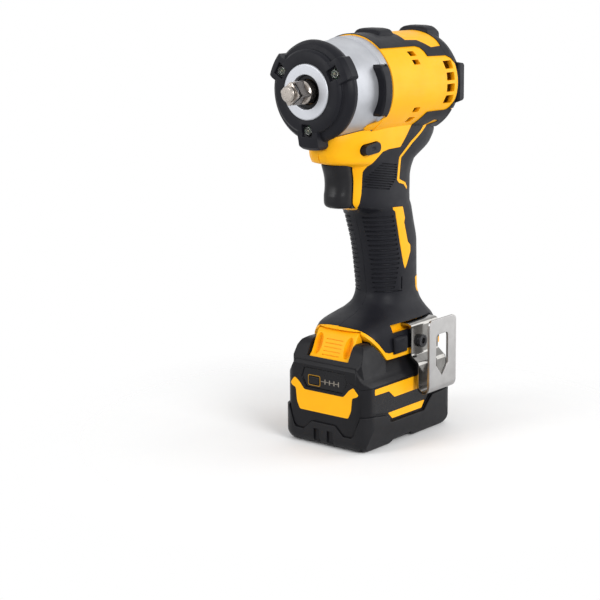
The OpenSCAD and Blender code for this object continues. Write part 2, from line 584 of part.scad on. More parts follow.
module motor_plate() color([0.2, 0.2, 0.22]) turned([[ring_out + seat_gap, carrier_z - 0.6],
    [spigot_r - 0.1, carrier_z - 0.6], [spigot_r - 0.1, front_bearing_z + 1],
    [9.5, front_bearing_z + 1], [9.5, front_bearing_end - 0.2], [6.5 + seat_gap,
        front_bearing_end - 0.2], [6.5 + seat_gap, front_bearing_z - 0.1], [5, front_bearing_z - 0.1],
    [5, bearing_end + 0.1], [11 + seat_gap, bearing_end + 0.1], [11 + seat_gap, plate_end + 0.4],
        [ring_out + seat_gap, plate_end + 0.4]]);
module race(r0, r1, z0, z1) turned([[r0, z0], [r0 + 0.9, z0], [r0 + 1.1, z0 + 0.4], [r1 - 1.1, z0 + 0.4],
    [r1 - 0.9, z0], [r1, z0],
    [r1, z1], [r1 - 0.9, z1], [r1 - 1.1, z1 - 0.4], [r0 + 1.1, z1 - 0.4], [r0 + 0.9, z1], [r0, z1]]);
module spindle_bearing() color([0.68, 0.68, 0.7]) race(hub_r + turn_gap, 11, bearing_z, bearing_end);
module front_bearing() color([0.68, 0.68, 0.7]) race(shaft_r + turn_gap, 6.5, front_bearing_z,
    front_bearing_end);
module rear_bearing() color([0.68, 0.68, 0.7]) race(shaft_r + turn_gap, 6.5, back_z + 0.1, back_z + 3.8);
module rotor_shaft() color([0.62, 0.62, 0.64]) {
    head() translate([0, 0, planet_z - 0.1]) linear_extrude(height = planet_w + 0.8)
        polygon(gear_pts(sun_t, gear_m * (sun_t / 2 + 0.8), gear_m * (sun_t / 2 - 1.05), backlash));
    tube(0, shaft_r, planet_z + planet_w, back_z + 3.6);
}
module rotor_core() color([0.4, 0.4, 0.42]) difference() {
    tube(shaft_r + 0.02, rotor_r, stator_z, stator_end);
    head() for (a = [0, 90, 180, 270]) rotate(a) translate([7.6, -6, stator_z + 0.5]) cube([2.5, 12,
        stator_len]);
}
module rotor_magnets() color([0.25, 0.25, 0.27]) head() for (a = [0, 90, 180,
    270]) rotate(a) translate([7.65, -5.95, stator_z + 0.55]) cube([2.4, 11.9, stator_len - 0.6]);
module cooling_fan() color([0.18, 0.18, 0.2]) {
    tube(shaft_r + 0.02, 6, fan_z, fan_end);
    tube(5.5, fan_r, fan_end - 1.2, fan_end);
    head() for (a = [0:40:320]) rotate(a) translate([5.4, -0.6, fan_z]) rotate([0, 0,
        16]) cube([fan_r - 7.2, 1.2, fan_end - fan_z - 0.6]);
}
module stator() color([0.46, 0.46, 0.48]) {
    tube(20.2, spigot_r - 0.1, stator_z, stator_end);
    for (a = [0:60:300]) head() rotate(a) intersection() {
        translate([12, -3, stator_z]) cube([8.5, 6, stator_len]);
        difference() {
            cylinder(r = 21, h = 200);
            cylinder(r = rotor_r + 0.6, h = 200);
        }
    }
    for (a = [0:60:300]) head() rotate(a) intersection() {
        translate([9, -5.6, stator_z]) cube([6, 11.2, stator_len]);
        difference() {
            cylinder(r = rotor_r + 2, h = 200);
            cylinder(r = rotor_r + 0.6, h = 200);
        }
    }
}
module stator_coils() color([0.72, 0.4, 0.18]) head() for (a = [0:60:300]) rotate(a) difference() {
    translate([15, -5.2, coil_z]) cube([4.2, 10.4, coil_end - coil_z]);
    translate([14, -3.1, stator_z - 0.1]) cube([7, 6.2, stator_len + 0.2]);
}
module motor_board() color([0.05, 0.25, 0.12]) tube(9.8, spigot_r - 0.6, front_bearing_z + 1.05,
    front_bearing_z + 2.4);

module trigger() color([0.13, 0.13, 0.14]) difference() {
    union() {
        intersection() {
            side(-trigger_half, trigger_half) polygon([[ny + 17.4, trig_z1], [ny + 18.2, trig_z1 - 2.2],
                [ny + 20.2, trig_z1 - 6], [ny + 21.2, trig_z1 - 10], [ny + 21.2, trig_z1 - 14],
                [ny + 20.3, trig_z1 - 19], [ny + 20.1, trig_z0 + 3], [ny + 20.8, trig_z0 + 1], [ny + 22.6, trig_z0],
                 [ny + 35, trig_z0], [ny + 35, trig_z1]]);
            linear_extrude(height = 300) polygon([[-4.4, ny + 17], [4.4, ny + 17], [7, ny + 20],
                [trigger_half, ny + 24.4], [trigger_half, ny + 36], [-trigger_half, ny + 36],
                [-trigger_half, ny + 24.4], [-7, ny + 20]]);
        }
        translate([0, ny + 28, hz - 51]) rotate([-90, 0, 0]) cylinder(r = 2.2, h = 15.4);
    }
    translate([0, ny + 28.5, hz - 51]) rotate([-90, 0, 0]) difference() {
        cylinder(r = 4.6, h = 8);
        translate([0, 0, -1]) cylinder(r = 2.2, h = 10);
    }
}
module trigger_spring() color([0.7, 0.7, 0.72]) translate([0, ny + 28.5, hz - 51]) rotate([-90, 0,
    0]) coil(3.5, 0.45, 0.6, 12.4, 5, 12, 5);
module switch_module() color([0.12, 0.12, 0.13]) difference() {
    union() {
        mid_box(10, ny + 41.5, ny + 68, trig_z0 + 1, trig_z1 + 0.6);
        mid_box(6, ny + 44, ny + 62, trig_z1 + 0.4, trig_z1 + 2.2);
    }
    translate([0, ny + 40, hz - 51]) rotate([-90, 0, 0]) cylinder(r = 2.2 + slide_gap, h = 12);
}
module direction_button() color([0.13, 0.13, 0.14]) side(-button_half, button_half) button_shape(0);
module control_module() color([0.16, 0.2, 0.18]) translate([0, 13.6, 101.5]) rotate([9.5, 0, 0]) {
    mid_box(8.4, -8.4, 8.4, -18, 18);
}
module terminal_block() color([0.12, 0.12, 0.13]) mid_box(17.4, 23.4, 33.7, 52.4, slot_top - 0.2);
module terminal_blades() color([0.8, 0.6, 0.3]) for (x = [-10.5, -3.5, 3.5, 10.5]) cut_box(x - 0.4,
    x + 0.4, 13, 23.4, 52.8, 56.4);
module housing_screws() color([0.3, 0.3, 0.32]) for (p = seam_screws) {
    across(p[0], p[1], 1.25, -7.5, 8);
    difference() {
        across(p[0], p[1], 2.7, -9.4, -7.05);
        across(p[0], p[1], 1.1, -11, -8.4);
    }
}

// Hook strip: centre line in the front view from the tongue to the top of the outer leg.
function arc_pts(cx, cz, r, a0, a1,
    n) = [for (i = [0:n]) let (a = a0 + (a1 - a0) * i / n) [cx + r * cos(a), cz + r * sin(a)]];
hook_line = concat([[19.8, 63.6]], arc_pts(tab_x - 1.6, 62, 1.6, 90, 0, 4), arc_pts(tab_x + 2.5, 47.2,
    2.5, 180, 225, 3),
    arc_pts(strip_x - 2.5, 41.2, 2.5, 45, 0, 3), arc_pts((strip_x + hook_out) / 2, 30,
        (hook_out - strip_x) / 2, 180, 360, 8), [[hook_out, 67.4]]);
function path_dir(p, i) = let (q = p[min(i + 1, len(p) - 1)] - p[max(i - 1, 0)]) q / norm(q);
function path_side(p, d) = [for (i = [0:len(p) - 1]) let (t = path_dir(p, i)) [p[i][0] - d * t[1],
    p[i][1] + d * t[0]]];
module belt_hook() color([0.78, 0.77, 0.75]) difference() {
    translate([0, hook_y0 + hook_w, 0]) rotate([90, 0, 0]) linear_extrude(height = hook_w)
        polygon(concat(path_side(hook_line, hook_t / 2),
            [for (i = [len(hook_line) - 1:-1:0]) path_side(hook_line, -hook_t / 2)[i]]));
    side(hook_out - 2, hook_out + 2) {
        translate([hook_y0 + hook_w / 2 - 6.4, 41]) square([11.4, 15.6]);
        translate([hook_y0 + hook_w / 2 - 4.4, 55]) square([7.4, 3.6]);
        translate([hook_y0 + hook_w / 2 - 4.4, 56.6]) circle(r = 2);
        translate([hook_y0 + hook_w / 2 + 3, 56.6]) circle(r = 2);
        translate([hook_y0 + hook_w / 2 - 0.7, 41.5]) polygon([[-5.7, 0], [5.7, 0], [0, -6.6]]);
    }
    side(hook_out - 2, hook_out + 2) {
        difference() {
            translate([hook_y0 - 1, 64.4]) square([4, 4]);
            translate([hook_y0 + 3, 64.4]) circle(r = 3);
        }
        difference() {
            translate([hook_y0 + hook_w - 3, 64.4]) square([4, 4]);
            translate([hook_y0 + hook_w - 3, 64.4]) circle(r = 3);
        }
    }
    across(hook_screw_y, hook_screw_z, hook_screw_r + 0.2, tab_x - 2, tab_x + 2);
}
module belt_hook_screw() color([0.12, 0.12, 0.13]) difference() {
    union() {
        across(hook_screw_y, hook_screw_z, hook_screw_r, 19, tab_x + 1);
        across(hook_screw_y, hook_screw_z, 3.6, tab_x + hook_t / 2 + 0.02, tab_x + hook_t / 2 + 2.2);
    }
    across(hook_screw_y, hook_screw_z, 1.6, tab_x + hook_t / 2 + 0.8, tab_x + hook_t / 2 + 4);
}

module rounded_rect(x, y, r) {
    square([2 * x - 2 * r, 2 * y], center = true);
    square([2 * x, 2 * y - 2 * r], center = true);
    for (i = [-1, 1]) { for (j = [-1, 1]) { translate([i * (x - r), j * (y - r)]) circle(r = r); } }
}
module case_form(grow) intersection() {
    w = base_half + grow;
    translate([0, 0, 1]) linear_extrude(height = deck_z - 1) rounded_rect(w, case_len + grow, 7 + grow);
    front(-90, 90) polygon([[-w + 5, 0], [w - 5, 0], [w - 2.9, 2.4], [w - 1, 7.5], [w, 14], [w, 35.8], [w - 0.6, 37],
        [w - 2, 38.6], [case_half - 1, 40.6], [case_half - 4.6, deck_z], [4.6 - case_half, deck_z],
        [1 - case_half, 40.6], [2 - w, 38.6], [0.6 - w, 37], [-w, 35.8], [-w, 14], [1 - w, 7.5], [2.9 - w, 2.4]]);
    side(-60, 60) polygon([[-case_len - grow + 3, 0], [case_len + grow - 3, 0], [case_len + grow, 3],
        [case_len + grow, 38], [case_len - 5, deck_z], [-case_len + 1, deck_z],
        [-case_len - grow, deck_z - 2], [-case_len - grow, 3]]);
}
// Upper edge of the boot: corners stand high, the sides dip under the label, the front opens for the face plate.
module boot_zone() difference() {
    side(-60, 60) polygon([[-60, -1], [60, -1], [60, 21.8], [36, 21.6], [20.4, 21], [15, 16], [12.9, 13.5],
        [-18.2, 13.8], [-21.2, 18.1], [-32, 19.9], [-60, 20.6]]);
    front(-60, -33) polygon([[-24.4, 18.6], [-20.8, 9.6], [-19.4, 8.2], [-13.8, 8], [-8.2, 13.2], [8.2, 13.2],
        [13.8, 8], [19.4, 8.2], [20.8, 9.6], [24.4, 18.6], [24.4, 60], [-24.4, 60]]);
}
module gauge_zone(grow) intersection() {
    front(-60, -20) polygon([for (q = gauge_edge) [q[0] * (1 + grow / 14),
        q[1] + (q[1] > 40 ? grow : q[1] < 34 ? -grow : 0)]]);
    mid_box(30, -case_len - 20, -case_len + gauge_inset + 0.85 + grow / 4, 20, 60);
}
module gauge_pocket() cut_box(gauge_btn[0] - slide_gap, gauge_btn[1] + slide_gap, -case_len - 9,
    -case_len + 4,
    gauge_btn[2] - slide_gap, gauge_btn[3] + slide_gap);
module latch_shape(grow) side(-latch_half - grow, latch_half + grow) polygon([[latch_front + 0.2 - grow,
    latch_z0 - grow],
    [latch_front - grow, 47.4], [-27.6 - grow / 2, latch_top + grow], [latch_back + grow, latch_top + grow],
    [latch_back + grow, latch_z0 - grow]]);
module latch_room() {
    latch_shape(slide_gap);
    cut_box(-latch_half - slide_gap, latch_half + slide_gap, latch_front - slide_gap,
        latch_back + slide_gap,
        latch_z0 - latch_travel - 1.6, latch_z0 + 20);
}
screw_x = case_half - 4;
screw_y = case_len - 4.2;
module case_posts(r, z0, z1) for (x = [-screw_x, screw_x]) for (y = [-screw_y, screw_y]) translate([x, y,
    z0]) { cylinder(r = r, h = z1 - z0); }
module case_room(z0, z1) difference() {
    mid_box(case_half - 2.6, -case_len + 2.6, case_len - 2.6, z0, z1);
    case_posts(2.6, 0, 60);
}
module battery_case() color([0.16, 0.16, 0.18]) difference() {
    union() {
        intersection() {
            case_form(0);
            cut_box(-60, 60, -60, 60, 35.5, 60);
        }
        intersection() {
            side(-60, 60) polygon([[-case_len, 38], [-case_len, deck_z - 2.6], [1.2 - case_len,
                deck_z - 0.6], [-34.4, 54.6],
                [-32.6, 56.6], [-30.2, 57.6], [-25.2, 57.6], [-16, 47.2], [-16, 38]]);
            front(-90, 90) polygon([[0.6 - case_half, 34], [0.6 - case_half, 40], [-23, 53], [-21.4, 56], [-18.6, 57.6],
                [18.6, 57.6], [21.4, 56], [23, 53], [case_half - 0.6, 40], [case_half - 0.6, 34]]);
            translate([0, 0, 20]) linear_extrude(height = 60) rounded_rect(case_half, case_len, 7);
        }
        mid_box(15, -23.6, 23, 40, 52.3);
        mid_box(17.8 - slide_gap, -23.6, 23, 52.2, tower_top);
    }
    case_room(20, 40.4);
    case_posts(1.3, 20, 38.6);
    mid_box(17, -14, 34, 40, 43.4);
    latch_room();
    for (x = [-10.5, -3.5, 3.5, 10.5]) cut_box(x - 2, x + 2, 10, 24, 50.4, 60);
    gauge_zone(0.2);
    gauge_pocket();
}
// Shallow recess for the side label, under the shoulder and above the boot.
label_edge = [[-31.8, 35], [-31.8, 20.8], [-20.7, 19], [-17.8, 14.7], [12.6, 14.4], [14.6, 17], [20.2, 22], [33, 22.6],
    [33, 35]];
module label_recess() for (s = [-1, 1]) side(s > 0 ? base_half - 0.5 : -60,
    s > 0 ? 60 : 0.5 - base_half) polygon(label_edge);
module battery_base() color([0.15, 0.15, 0.17]) difference() {
    intersection() {
        case_form(0);
        cut_box(-60, 60, -60, 60, 0, 35.45);
    }
    case_room(4, 60);
    case_posts(1.35, 0, 60);
    case_posts(2.4, 0, 3.2);
    label_recess();
    gauge_zone(0.2);
    gauge_pocket();
}
module battery_boot() color([0.12, 0.12, 0.13]) difference() {
    intersection() {
        translate([0, 0, -1]) case_form(boot_t);
        boot_zone();
    }
    case_form(0);
    cut_box(-60, 60, -60, 60, -5, 0);
    case_posts(2.5, -1, 6);
    for (x = [-4.6, 4.6]) cut_box(x - 2, x + 2, -60, 0.1 - case_len, -1, 9.4);
    for (s = [-1, 1]) side(s > 0 ? base_half - 6 : -60, s > 0 ? 60 : 6 - base_half) {
        polygon([[-15.6, -1], [-12.6, 3.2], [3.6, 3.2], [8.4, -1]]);
    }
}
module battery_latch() color([0.98, 0.72, 0.06]) difference() {
    latch_shape(0);
    translate([0, -31, latch_z0 - 1]) cylinder(r = 4.4, h = 5);
    for (s = [-1, 1]) translate([s * (latch_half + 2.4), latch_front + 0.6, 55.6]) sphere(r = 6.6);
    for (i = [0:2]) translate([0, latch_front + 2.3 + 2.1 * i, 50.4 + 3.4 * i]) rotate([-32, 0,
        0]) mid_box(7, -0.45, 0.45, -1, 2);
}
module latch_spring() color([0.7, 0.7, 0.72]) translate([0, -31, 0]) coil(3.4, 0.45,
    latch_z0 - latch_travel - 1.1, latch_z0 + 3.5, 3, 12, 5);
module gauge_panel() color([0.07, 0.07, 0.08]) difference() {
    intersection() {
        gauge_zone(0);
        mid_box(30, -case_len + gauge_inset, 0, 20, 60);
    }
    gauge_pocket();
}
module gauge_button() color([0.2, 0.2, 0.2]) cut_box(gauge_btn[0], gauge_btn[1], -case_len - 0.2,
    1.9 - case_len, gauge_btn[2],
    gauge_btn[3]);
module battery_cells() color([0.2, 0.42, 0.3]) for (p = [[-9.6, 13.6], [9.6, 13.6], [0, 30.2]])
    translate([p[0], -cell_len / 2, p[1]]) rotate([-90, 0, 0]) { cylinder(r = cell_r, h = cell_len); }
module cell_holders() color([0.1, 0.1, 0.11]) for (s = [-1, 1]) mid_box(screw_x - 3.1,
    s > 0 ? cell_len / 2 + 0.1 : 3.2 - case_len, s > 0 ? case_len - 3.2 : -cell_len / 2 - 0.1, 4.2, 39.8);
module battery_board() color([0.05, 0.25, 0.12]) mid_box(16.4, -13.4, 33.4, 40.8, 42.4);
module battery_clips() color([0.8, 0.62, 0.32]) for (x = [-10.5, -3.5, 3.5, 10.5]) {
    cut_box(x - 1.7, x - 1.1, 11, 22, 50.5, 56);
    cut_box(x + 1.1, x + 1.7, 11, 22, 50.5, 56);
    cut_box(x - 1.7, x + 1.7, 11, 22, 50.45, 51.2);
}
module battery_screws() color([0.3, 0.3, 0.32]) {
    case_posts(2.2, 1.3, 3.15);
    case_posts(1.25, 2, 38);
}

housing_left();
housing_right();
grip_left();
grip_right();
top_bumper();
rear_bumper();
side_pads();
gearcase();
nose_bumper();
light_board();
light_lenses();
anvil_bush();
anvil_washer();
anvil();
retaining_ring();
hammer();
hammer_spring();
cam_spindle();
cam_balls();
planet_pins();
planet_1();
planet_2();
planet_3();
ring_gear();
motor_plate();
spindle_bearing();
front_bearing();
rear_bearing();
rotor_shaft();
rotor_core();
rotor_magnets();
cooling_fan();
stator();
stator_coils();
motor_board();
trigger();
trigger_spring();
switch_module();
direction_button();
control_module();
terminal_block();
terminal_blades();
housing_screws();
belt_hook();
belt_hook_screw();
battery_case();
battery_base();
battery_boot();
battery_latch();
latch_spring();
gauge_panel();
gauge_button();
battery_cells();
cell_holders();
battery_board();
battery_clips();
battery_screws();
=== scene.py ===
# Looks of a compact square-drive impact wrench with a slide-on battery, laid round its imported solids.
# Blender works in metres; sizes below are written in millimetres and turned into metres by MM.
import json
import math

import bmesh
import bpy
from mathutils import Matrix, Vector
from mathutils.bvhtree import BVHTree

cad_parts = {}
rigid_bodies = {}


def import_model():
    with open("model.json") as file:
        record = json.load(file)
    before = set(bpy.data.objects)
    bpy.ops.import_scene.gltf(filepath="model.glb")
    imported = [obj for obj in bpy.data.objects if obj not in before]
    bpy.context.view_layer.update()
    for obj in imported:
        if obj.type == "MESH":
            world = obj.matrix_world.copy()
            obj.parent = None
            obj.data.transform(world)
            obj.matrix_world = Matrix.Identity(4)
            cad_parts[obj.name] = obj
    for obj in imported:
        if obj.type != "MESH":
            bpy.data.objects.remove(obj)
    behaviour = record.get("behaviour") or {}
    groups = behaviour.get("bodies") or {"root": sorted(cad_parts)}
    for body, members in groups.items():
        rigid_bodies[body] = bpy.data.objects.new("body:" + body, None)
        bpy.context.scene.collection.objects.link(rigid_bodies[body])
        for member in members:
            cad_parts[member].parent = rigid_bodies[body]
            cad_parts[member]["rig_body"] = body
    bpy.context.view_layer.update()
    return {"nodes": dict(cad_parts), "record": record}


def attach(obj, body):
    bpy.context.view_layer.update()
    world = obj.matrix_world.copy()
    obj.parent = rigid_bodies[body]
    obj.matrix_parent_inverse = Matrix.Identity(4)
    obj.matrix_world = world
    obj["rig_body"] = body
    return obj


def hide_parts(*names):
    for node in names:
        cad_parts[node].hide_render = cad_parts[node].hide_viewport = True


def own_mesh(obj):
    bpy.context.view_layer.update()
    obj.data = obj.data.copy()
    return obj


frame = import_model()

MM = 0.001
WELD = 0.0005  # corners closer than this are one corner
SHARP = 34  # an edge that turns by more degrees than this is a corner
SMOOTH = 40  # the same for moulded pieces, once their edges are rounded
FLUSH = 36  # and for pieces laid on a form or taken straight from a solid

NOSE_Y = -54.5  # front face of the gearcase
AXIS_Z = 194.5  # height of the drive's axis
BARREL_R = 28.3
BARREL_SPAN = (NOSE_Y + 36, NOSE_Y + 108)
BAND_R = BARREL_R + 0.5  # the soft covers stand proud of the barrel
PAD_R = 31.19
LIGHT_R = 20.4  # the work lights' distance from the drive's axis
LIGHT_TURNS = (90, 210, 330)
CASE_FRONT = -40.2  # front of the battery
BASE_HALF = 28.0  # half width of the battery base
BOOT_OVER = 1.31  # how far the boot's form stands out round the base
BOOT_BOX = (-29.3, -41.5, 0), (29.3, 41.5, 30)

# Sections of the handle form: height, front, back, half width, squareness.
HANDLE_SECTIONS = [
    (44, -29.8, 44.3, 24.6, 4.2), (52, -30, 44.3, 24.6, 4.2), (59, -30, 43.6, 24, 3.6),
    (64.2, -28.6, 42, 22.4, 3.1), (67, -22, 40.2, 20.6, 2.8), (70, -12, 38.6, 18, 2.6),
    (74, -5.5, 36.8, 15.9, 2.4), (80, -2.6, 34.5, 15, 2.4), (92, -4, 34.2, 15.2, 2.4),
    (106, -6.6, 34, 15.4, 2.4), (119, -10.6, 30.7, 15.7, 2.4), (126.5, -14, 28.9, 15.8, 2.4),
    (130.2, -25.5, 28.4, 15.9, 2.4), (133.5, -28.5, 28.5, 16, 2.4), (144.5, -27.8, 28.6, 16.2, 2.4),
    (152.9, -28.8, 32, 16.6, 2.5), (155.9, -42.1, 39.2, 17, 2.5), (161, -44.3, 47.8, 17.7, 2.5),
    (168, -44.1, 51.4, 18.4, 2.6), (177.5, -40.5, 49, 18.6, 2.6)]
SECTION_CORNERS = 96
SECTION_RISE = 1.0


def take(piece):
    """Leaves one piece selected and active."""
    bpy.ops.object.select_all(action="DESELECT")
    piece.select_set(True)
    bpy.context.view_layer.objects.active = piece


def take_all(pieces):
    """Leaves several pieces selected, the first one active."""
    bpy.ops.object.select_all(action="DESELECT")
    for piece in pieces:
        piece.select_set(True)
    bpy.context.view_layer.objects.active = pieces[0]


def finish_with(piece, kind, **settings):
    """Adds one modifier, sets it and applies it."""
    take(piece)
    mod = piece.modifiers.new(kind.lower(), kind)
    for key, value in settings.items():
        setattr(mod, key, value)
    bpy.ops.object.modifier_apply(modifier=mod.name)
    return piece


def round_edges(piece, width, segments=3, angle=SHARP, clamp=True):
    """Rounds every edge that turns by more than the angle."""
    return finish_with(piece, "BEVEL", width=width * MM, segments=segments, limit_method="ANGLE",
                       angle_limit=math.radians(angle), use_clamp_overlap=clamp)


def round_some(piece, where, width, segments=4, clamp=False):
    """Rounds only the sharp edges whose two ends lie where the test says, given in mm."""
    mesh = piece.data
    inside = [where(*(v.co / MM)) for v in mesh.vertices]
    bm = bmesh.new()
    bm.from_mesh(mesh)
    marks = bm.edges.layers.float.new("bevel_weight_edge")
    for edge in bm.edges:
        sharp = edge.is_manifold and edge.calc_face_angle() > math.radians(SHARP)
        edge[marks] = 1.0 if sharp and all(inside[v.index] for v in edge.verts) else 0.0
    bm.to_mesh(mesh)
    bm.free()
    return finish_with(piece, "BEVEL", width=width * MM, segments=segments, limit_method="WEIGHT",
                       use_clamp_overlap=clamp)


def held(piece, low, high, radius=None):
    """Brings corners that a rounding pushed out back to the solid's own bounds."""
    for v in piece.data.vertices:
        spot = [min(max(c / MM, a), b) for c, a, b in zip(v.co, low, high)]
        if radius:
            far = math.hypot(spot[0], spot[2] - AXIS_Z)
            if far > radius:
                spot[0] *= radius / far
                spot[2] = AXIS_Z + (spot[2] - AXIS_Z) * radius / far
        v.co = Vector(spot) * MM
    piece.data.update()
    return piece


def sliced(piece, axis, low, high, step):
    """Cuts parallel lines into the piece's faces, so that they can follow a curved form."""
    take(piece)
    bpy.ops.object.mode_set(mode="EDIT")
    count = round((high - low) / step)
    across = Vector([1.0 if i == axis else 0.0 for i in range(3)])
    for k in range(count + 1):
        bpy.ops.mesh.select_all(action="SELECT")
        bpy.ops.mesh.bisect(plane_co=across * (low + (high - low) * k / count) * MM, plane_no=across)
    bpy.ops.object.mode_set(mode="OBJECT")
    return piece


def cleaned(piece):
    """Merges corners that a rounding left on one spot, and takes out slivers and doubled faces."""
    bm = bmesh.new()
    bm.from_mesh(piece.data)
    bmesh.ops.remove_doubles(bm, verts=bm.verts[:], dist=WELD * MM)
    bmesh.ops.triangulate(bm, faces=bm.faces[:])
    bmesh.ops.dissolve_degenerate(bm, edges=bm.edges[:], dist=WELD * MM)
    bm.verts.index_update()
    same = {}
    for face in bm.faces:
        same.setdefault(frozenset(v.index for v in face.verts), []).append(face)
    doubled = [face for faces in same.values() if len(faces) > 1 for face in faces]
    bmesh.ops.delete(bm, geom=doubled, context="FACES")
    bm.to_mesh(piece.data)
    bm.free()
    return piece


def shade(piece, angle=SHARP):
    """Smooth shading between sharp edges, led by the large faces so that flats stay flat."""
    take(cleaned(piece))
    bpy.ops.object.shade_smooth_by_angle(angle=math.radians(angle))
    return finish_with(piece, "WEIGHTED_NORMAL", weight=80, keep_sharp=True)


def joined(pieces, name):
    """Several pieces as one."""
    take_all(pieces)
    if len(pieces) > 1:
        bpy.ops.object.join()
    piece = bpy.context.view_layer.objects.active
    piece.name = piece.data.name = name
    return piece


def settle(piece):
    """Puts the piece's place into its mesh, so that the object itself sits at the origin."""
    take(piece)
    bpy.ops.object.transform_apply(location=True, rotation=True, scale=True)
    return piece


def cut(piece, tool, operation="DIFFERENCE"):
    """Cuts, joins or trims a piece with a tool, which is used up."""
    finish_with(piece, "BOOLEAN", operation=operation, solver="MANIFOLD", object=tool)
    bpy.data.objects.remove(tool)
    return piece


def taken_from(node, name):
    """A copy of a solid's mesh, welded and freed of its flat splits, as the start of a finer piece."""
    source = frame["nodes"][node]
    piece = bpy.data.objects.new(name, source.data.copy())
    piece.data.name = name
    piece.data.materials.clear()
    bpy.context.scene.collection.objects.link(piece)
    take(piece)
    if piece.data.has_custom_normals:
        bpy.ops.mesh.customdata_custom_splitnormals_clear()
    bpy.ops.object.mode_set(mode="EDIT")
    bpy.ops.mesh.select_all(action="SELECT")
    bpy.ops.mesh.remove_doubles(threshold=0.004 * MM)
    bpy.ops.mesh.dissolve_degenerate(threshold=0.03 * MM)
    bpy.ops.mesh.dissolve_limited(angle_limit=math.radians(0.8))
    bpy.ops.object.mode_set(mode="OBJECT")
    return piece


def block(centre, size, turn=(0, 0, 0)):
    """A box of that size in mm, as a tool for a cut or the start of a piece."""
    bpy.ops.object.select_all(action="DESELECT")
    bpy.ops.mesh.primitive_cube_add(size=1, location=Vector(centre) * MM,
                                    rotation=[math.radians(a) for a in turn])
    box = bpy.context.active_object
    box.scale = Vector(size) * MM
    return settle(box)


def ball(centre, radii, tip=0):
    """A stretched ball that scoops a hollow, its centre in metres and its radii in mm, tipped about X."""
    bpy.ops.object.select_all(action="DESELECT")
    bpy.ops.mesh.primitive_uv_sphere_add(segments=48, ring_count=24, radius=MM)
    scoop = bpy.context.active_object
    scoop.location = centre
    scoop.rotation_euler = (math.radians(tip), 0, 0)
    scoop.scale = radii
    return settle(scoop)


def drawn(name, spots, faces):
    """A piece drawn corner by corner, in mm."""
    mesh = bpy.data.meshes.new(name)
    mesh.from_pydata([Vector(s) * MM for s in spots], [], faces)
    piece = bpy.data.objects.new(name, mesh)
    bpy.context.scene.collection.objects.link(piece)
    return piece


def plate(name, outline, axis, at, thick):
    """A flat plate facing X or Y: an outline filled, then extruded by its thickness."""
    spots = [(at, p, q) if axis == 0 else (p, at, q) for p, q in outline]
    piece = drawn(name, spots, [list(range(len(spots)))])
    take(piece)
    bpy.ops.object.mode_set(mode="EDIT")
    bpy.ops.mesh.select_all(action="SELECT")
    move = [0, 0, 0]
    move[axis] = thick * MM
    bpy.ops.mesh.extrude_region_move(TRANSFORM_OT_translate={"value": move})
    bpy.ops.mesh.select_all(action="SELECT")
    bpy.ops.mesh.normals_make_consistent(inside=False)
    bpy.ops.object.mode_set(mode="OBJECT")
    return piece


def eased(points, radius, steps=4):
    """An outline with each corner rounded by an arc of about that radius."""
    out = []
    count = len(points)
    for i in range(count):
        here = Vector(points[i])
        back = Vector(points[i - 1]) - here
        ahead = Vector(points[(i + 1) % count]) - here
        reach = min(radius, back.length * 0.45, ahead.length * 0.45)
        a = here + back.normalized() * reach
        b = here + ahead.normalized() * reach
        for k in range(steps + 1):
            t = k / steps
            out.append(tuple((1 - t) ** 2 * a + 2 * t * (1 - t) * here + t ** 2 * b))
    return out


def monotone(zs, values):
    """Slopes of a smooth curve through the points that never swings past them."""
    steps = [(values[i + 1] - values[i]) / (zs[i + 1] - zs[i]) for i in range(len(zs) - 1)]
    slopes = [steps[0]]
    for i in range(1, len(steps)):
        a, b = steps[i - 1], steps[i]
        slopes.append(0 if a * b <= 0 else 2 * a * b / (a + b))
    return slopes + [steps[-1]]


def between(zs, values, slopes, z):
    """The smooth curve's value at a height."""
    i = max(k for k in range(len(zs) - 1) if zs[k] <= z + 1e-9)
    h = zs[i + 1] - zs[i]
    t = (z - zs[i]) / h
    return (values[i] * (1 + 2 * t) * (1 - t) ** 2 + slopes[i] * h * t * (1 - t) ** 2
            + values[i + 1] * t * t * (3 - 2 * t) + slopes[i + 1] * h * t * t * (t - 1))


def handle_form(name, inset=0.0):
    """The smooth form of neck, grip and foot, set in by so many mm."""
    zs = [s[0] for s in HANDLE_SECTIONS]
    columns = [[s[c] for s in HANDLE_SECTIONS] for c in range(1, 5)]
    slopes = [monotone(zs, col) for col in columns]
    heights = []
    for z0, z1 in zip(zs, zs[1:]):
        steps = max(1, round((z1 - z0) / SECTION_RISE))
        heights += [z0 + (z1 - z0) * k / steps for k in range(steps)]
    heights.append(zs[-1])
    around = SECTION_CORNERS
    spots, faces = [], []
    for z in heights:
        front, back, half, square = (between(zs, col, sl, z) for col, sl in zip(columns, slopes))
        for i in range(around):
            t = 2 * math.pi * i / around
            c, s = math.cos(t), math.sin(t)
            deep = (back - front) / 2 - inset
            x = (half - inset) * math.copysign(abs(c) ** (2 / square), c)
            y = deep * math.copysign(abs(s) ** (2 / square), s) + (front + back) / 2
            spots.append((x, y, z))
    for k in range(len(heights) - 1):
        for i in range(around):
            j = (i + 1) % around
            faces.append((k * around + i, k * around + j, (k + 1) * around + j, (k + 1) * around + i))
    faces.append(tuple(reversed(range(around))))
    faces.append(tuple(range((len(heights) - 1) * around, len(heights) * around)))
    form = drawn(name, spots, faces)
    form.data.polygons.foreach_set("use_smooth", [True] * len(form.data.polygons))
    return form


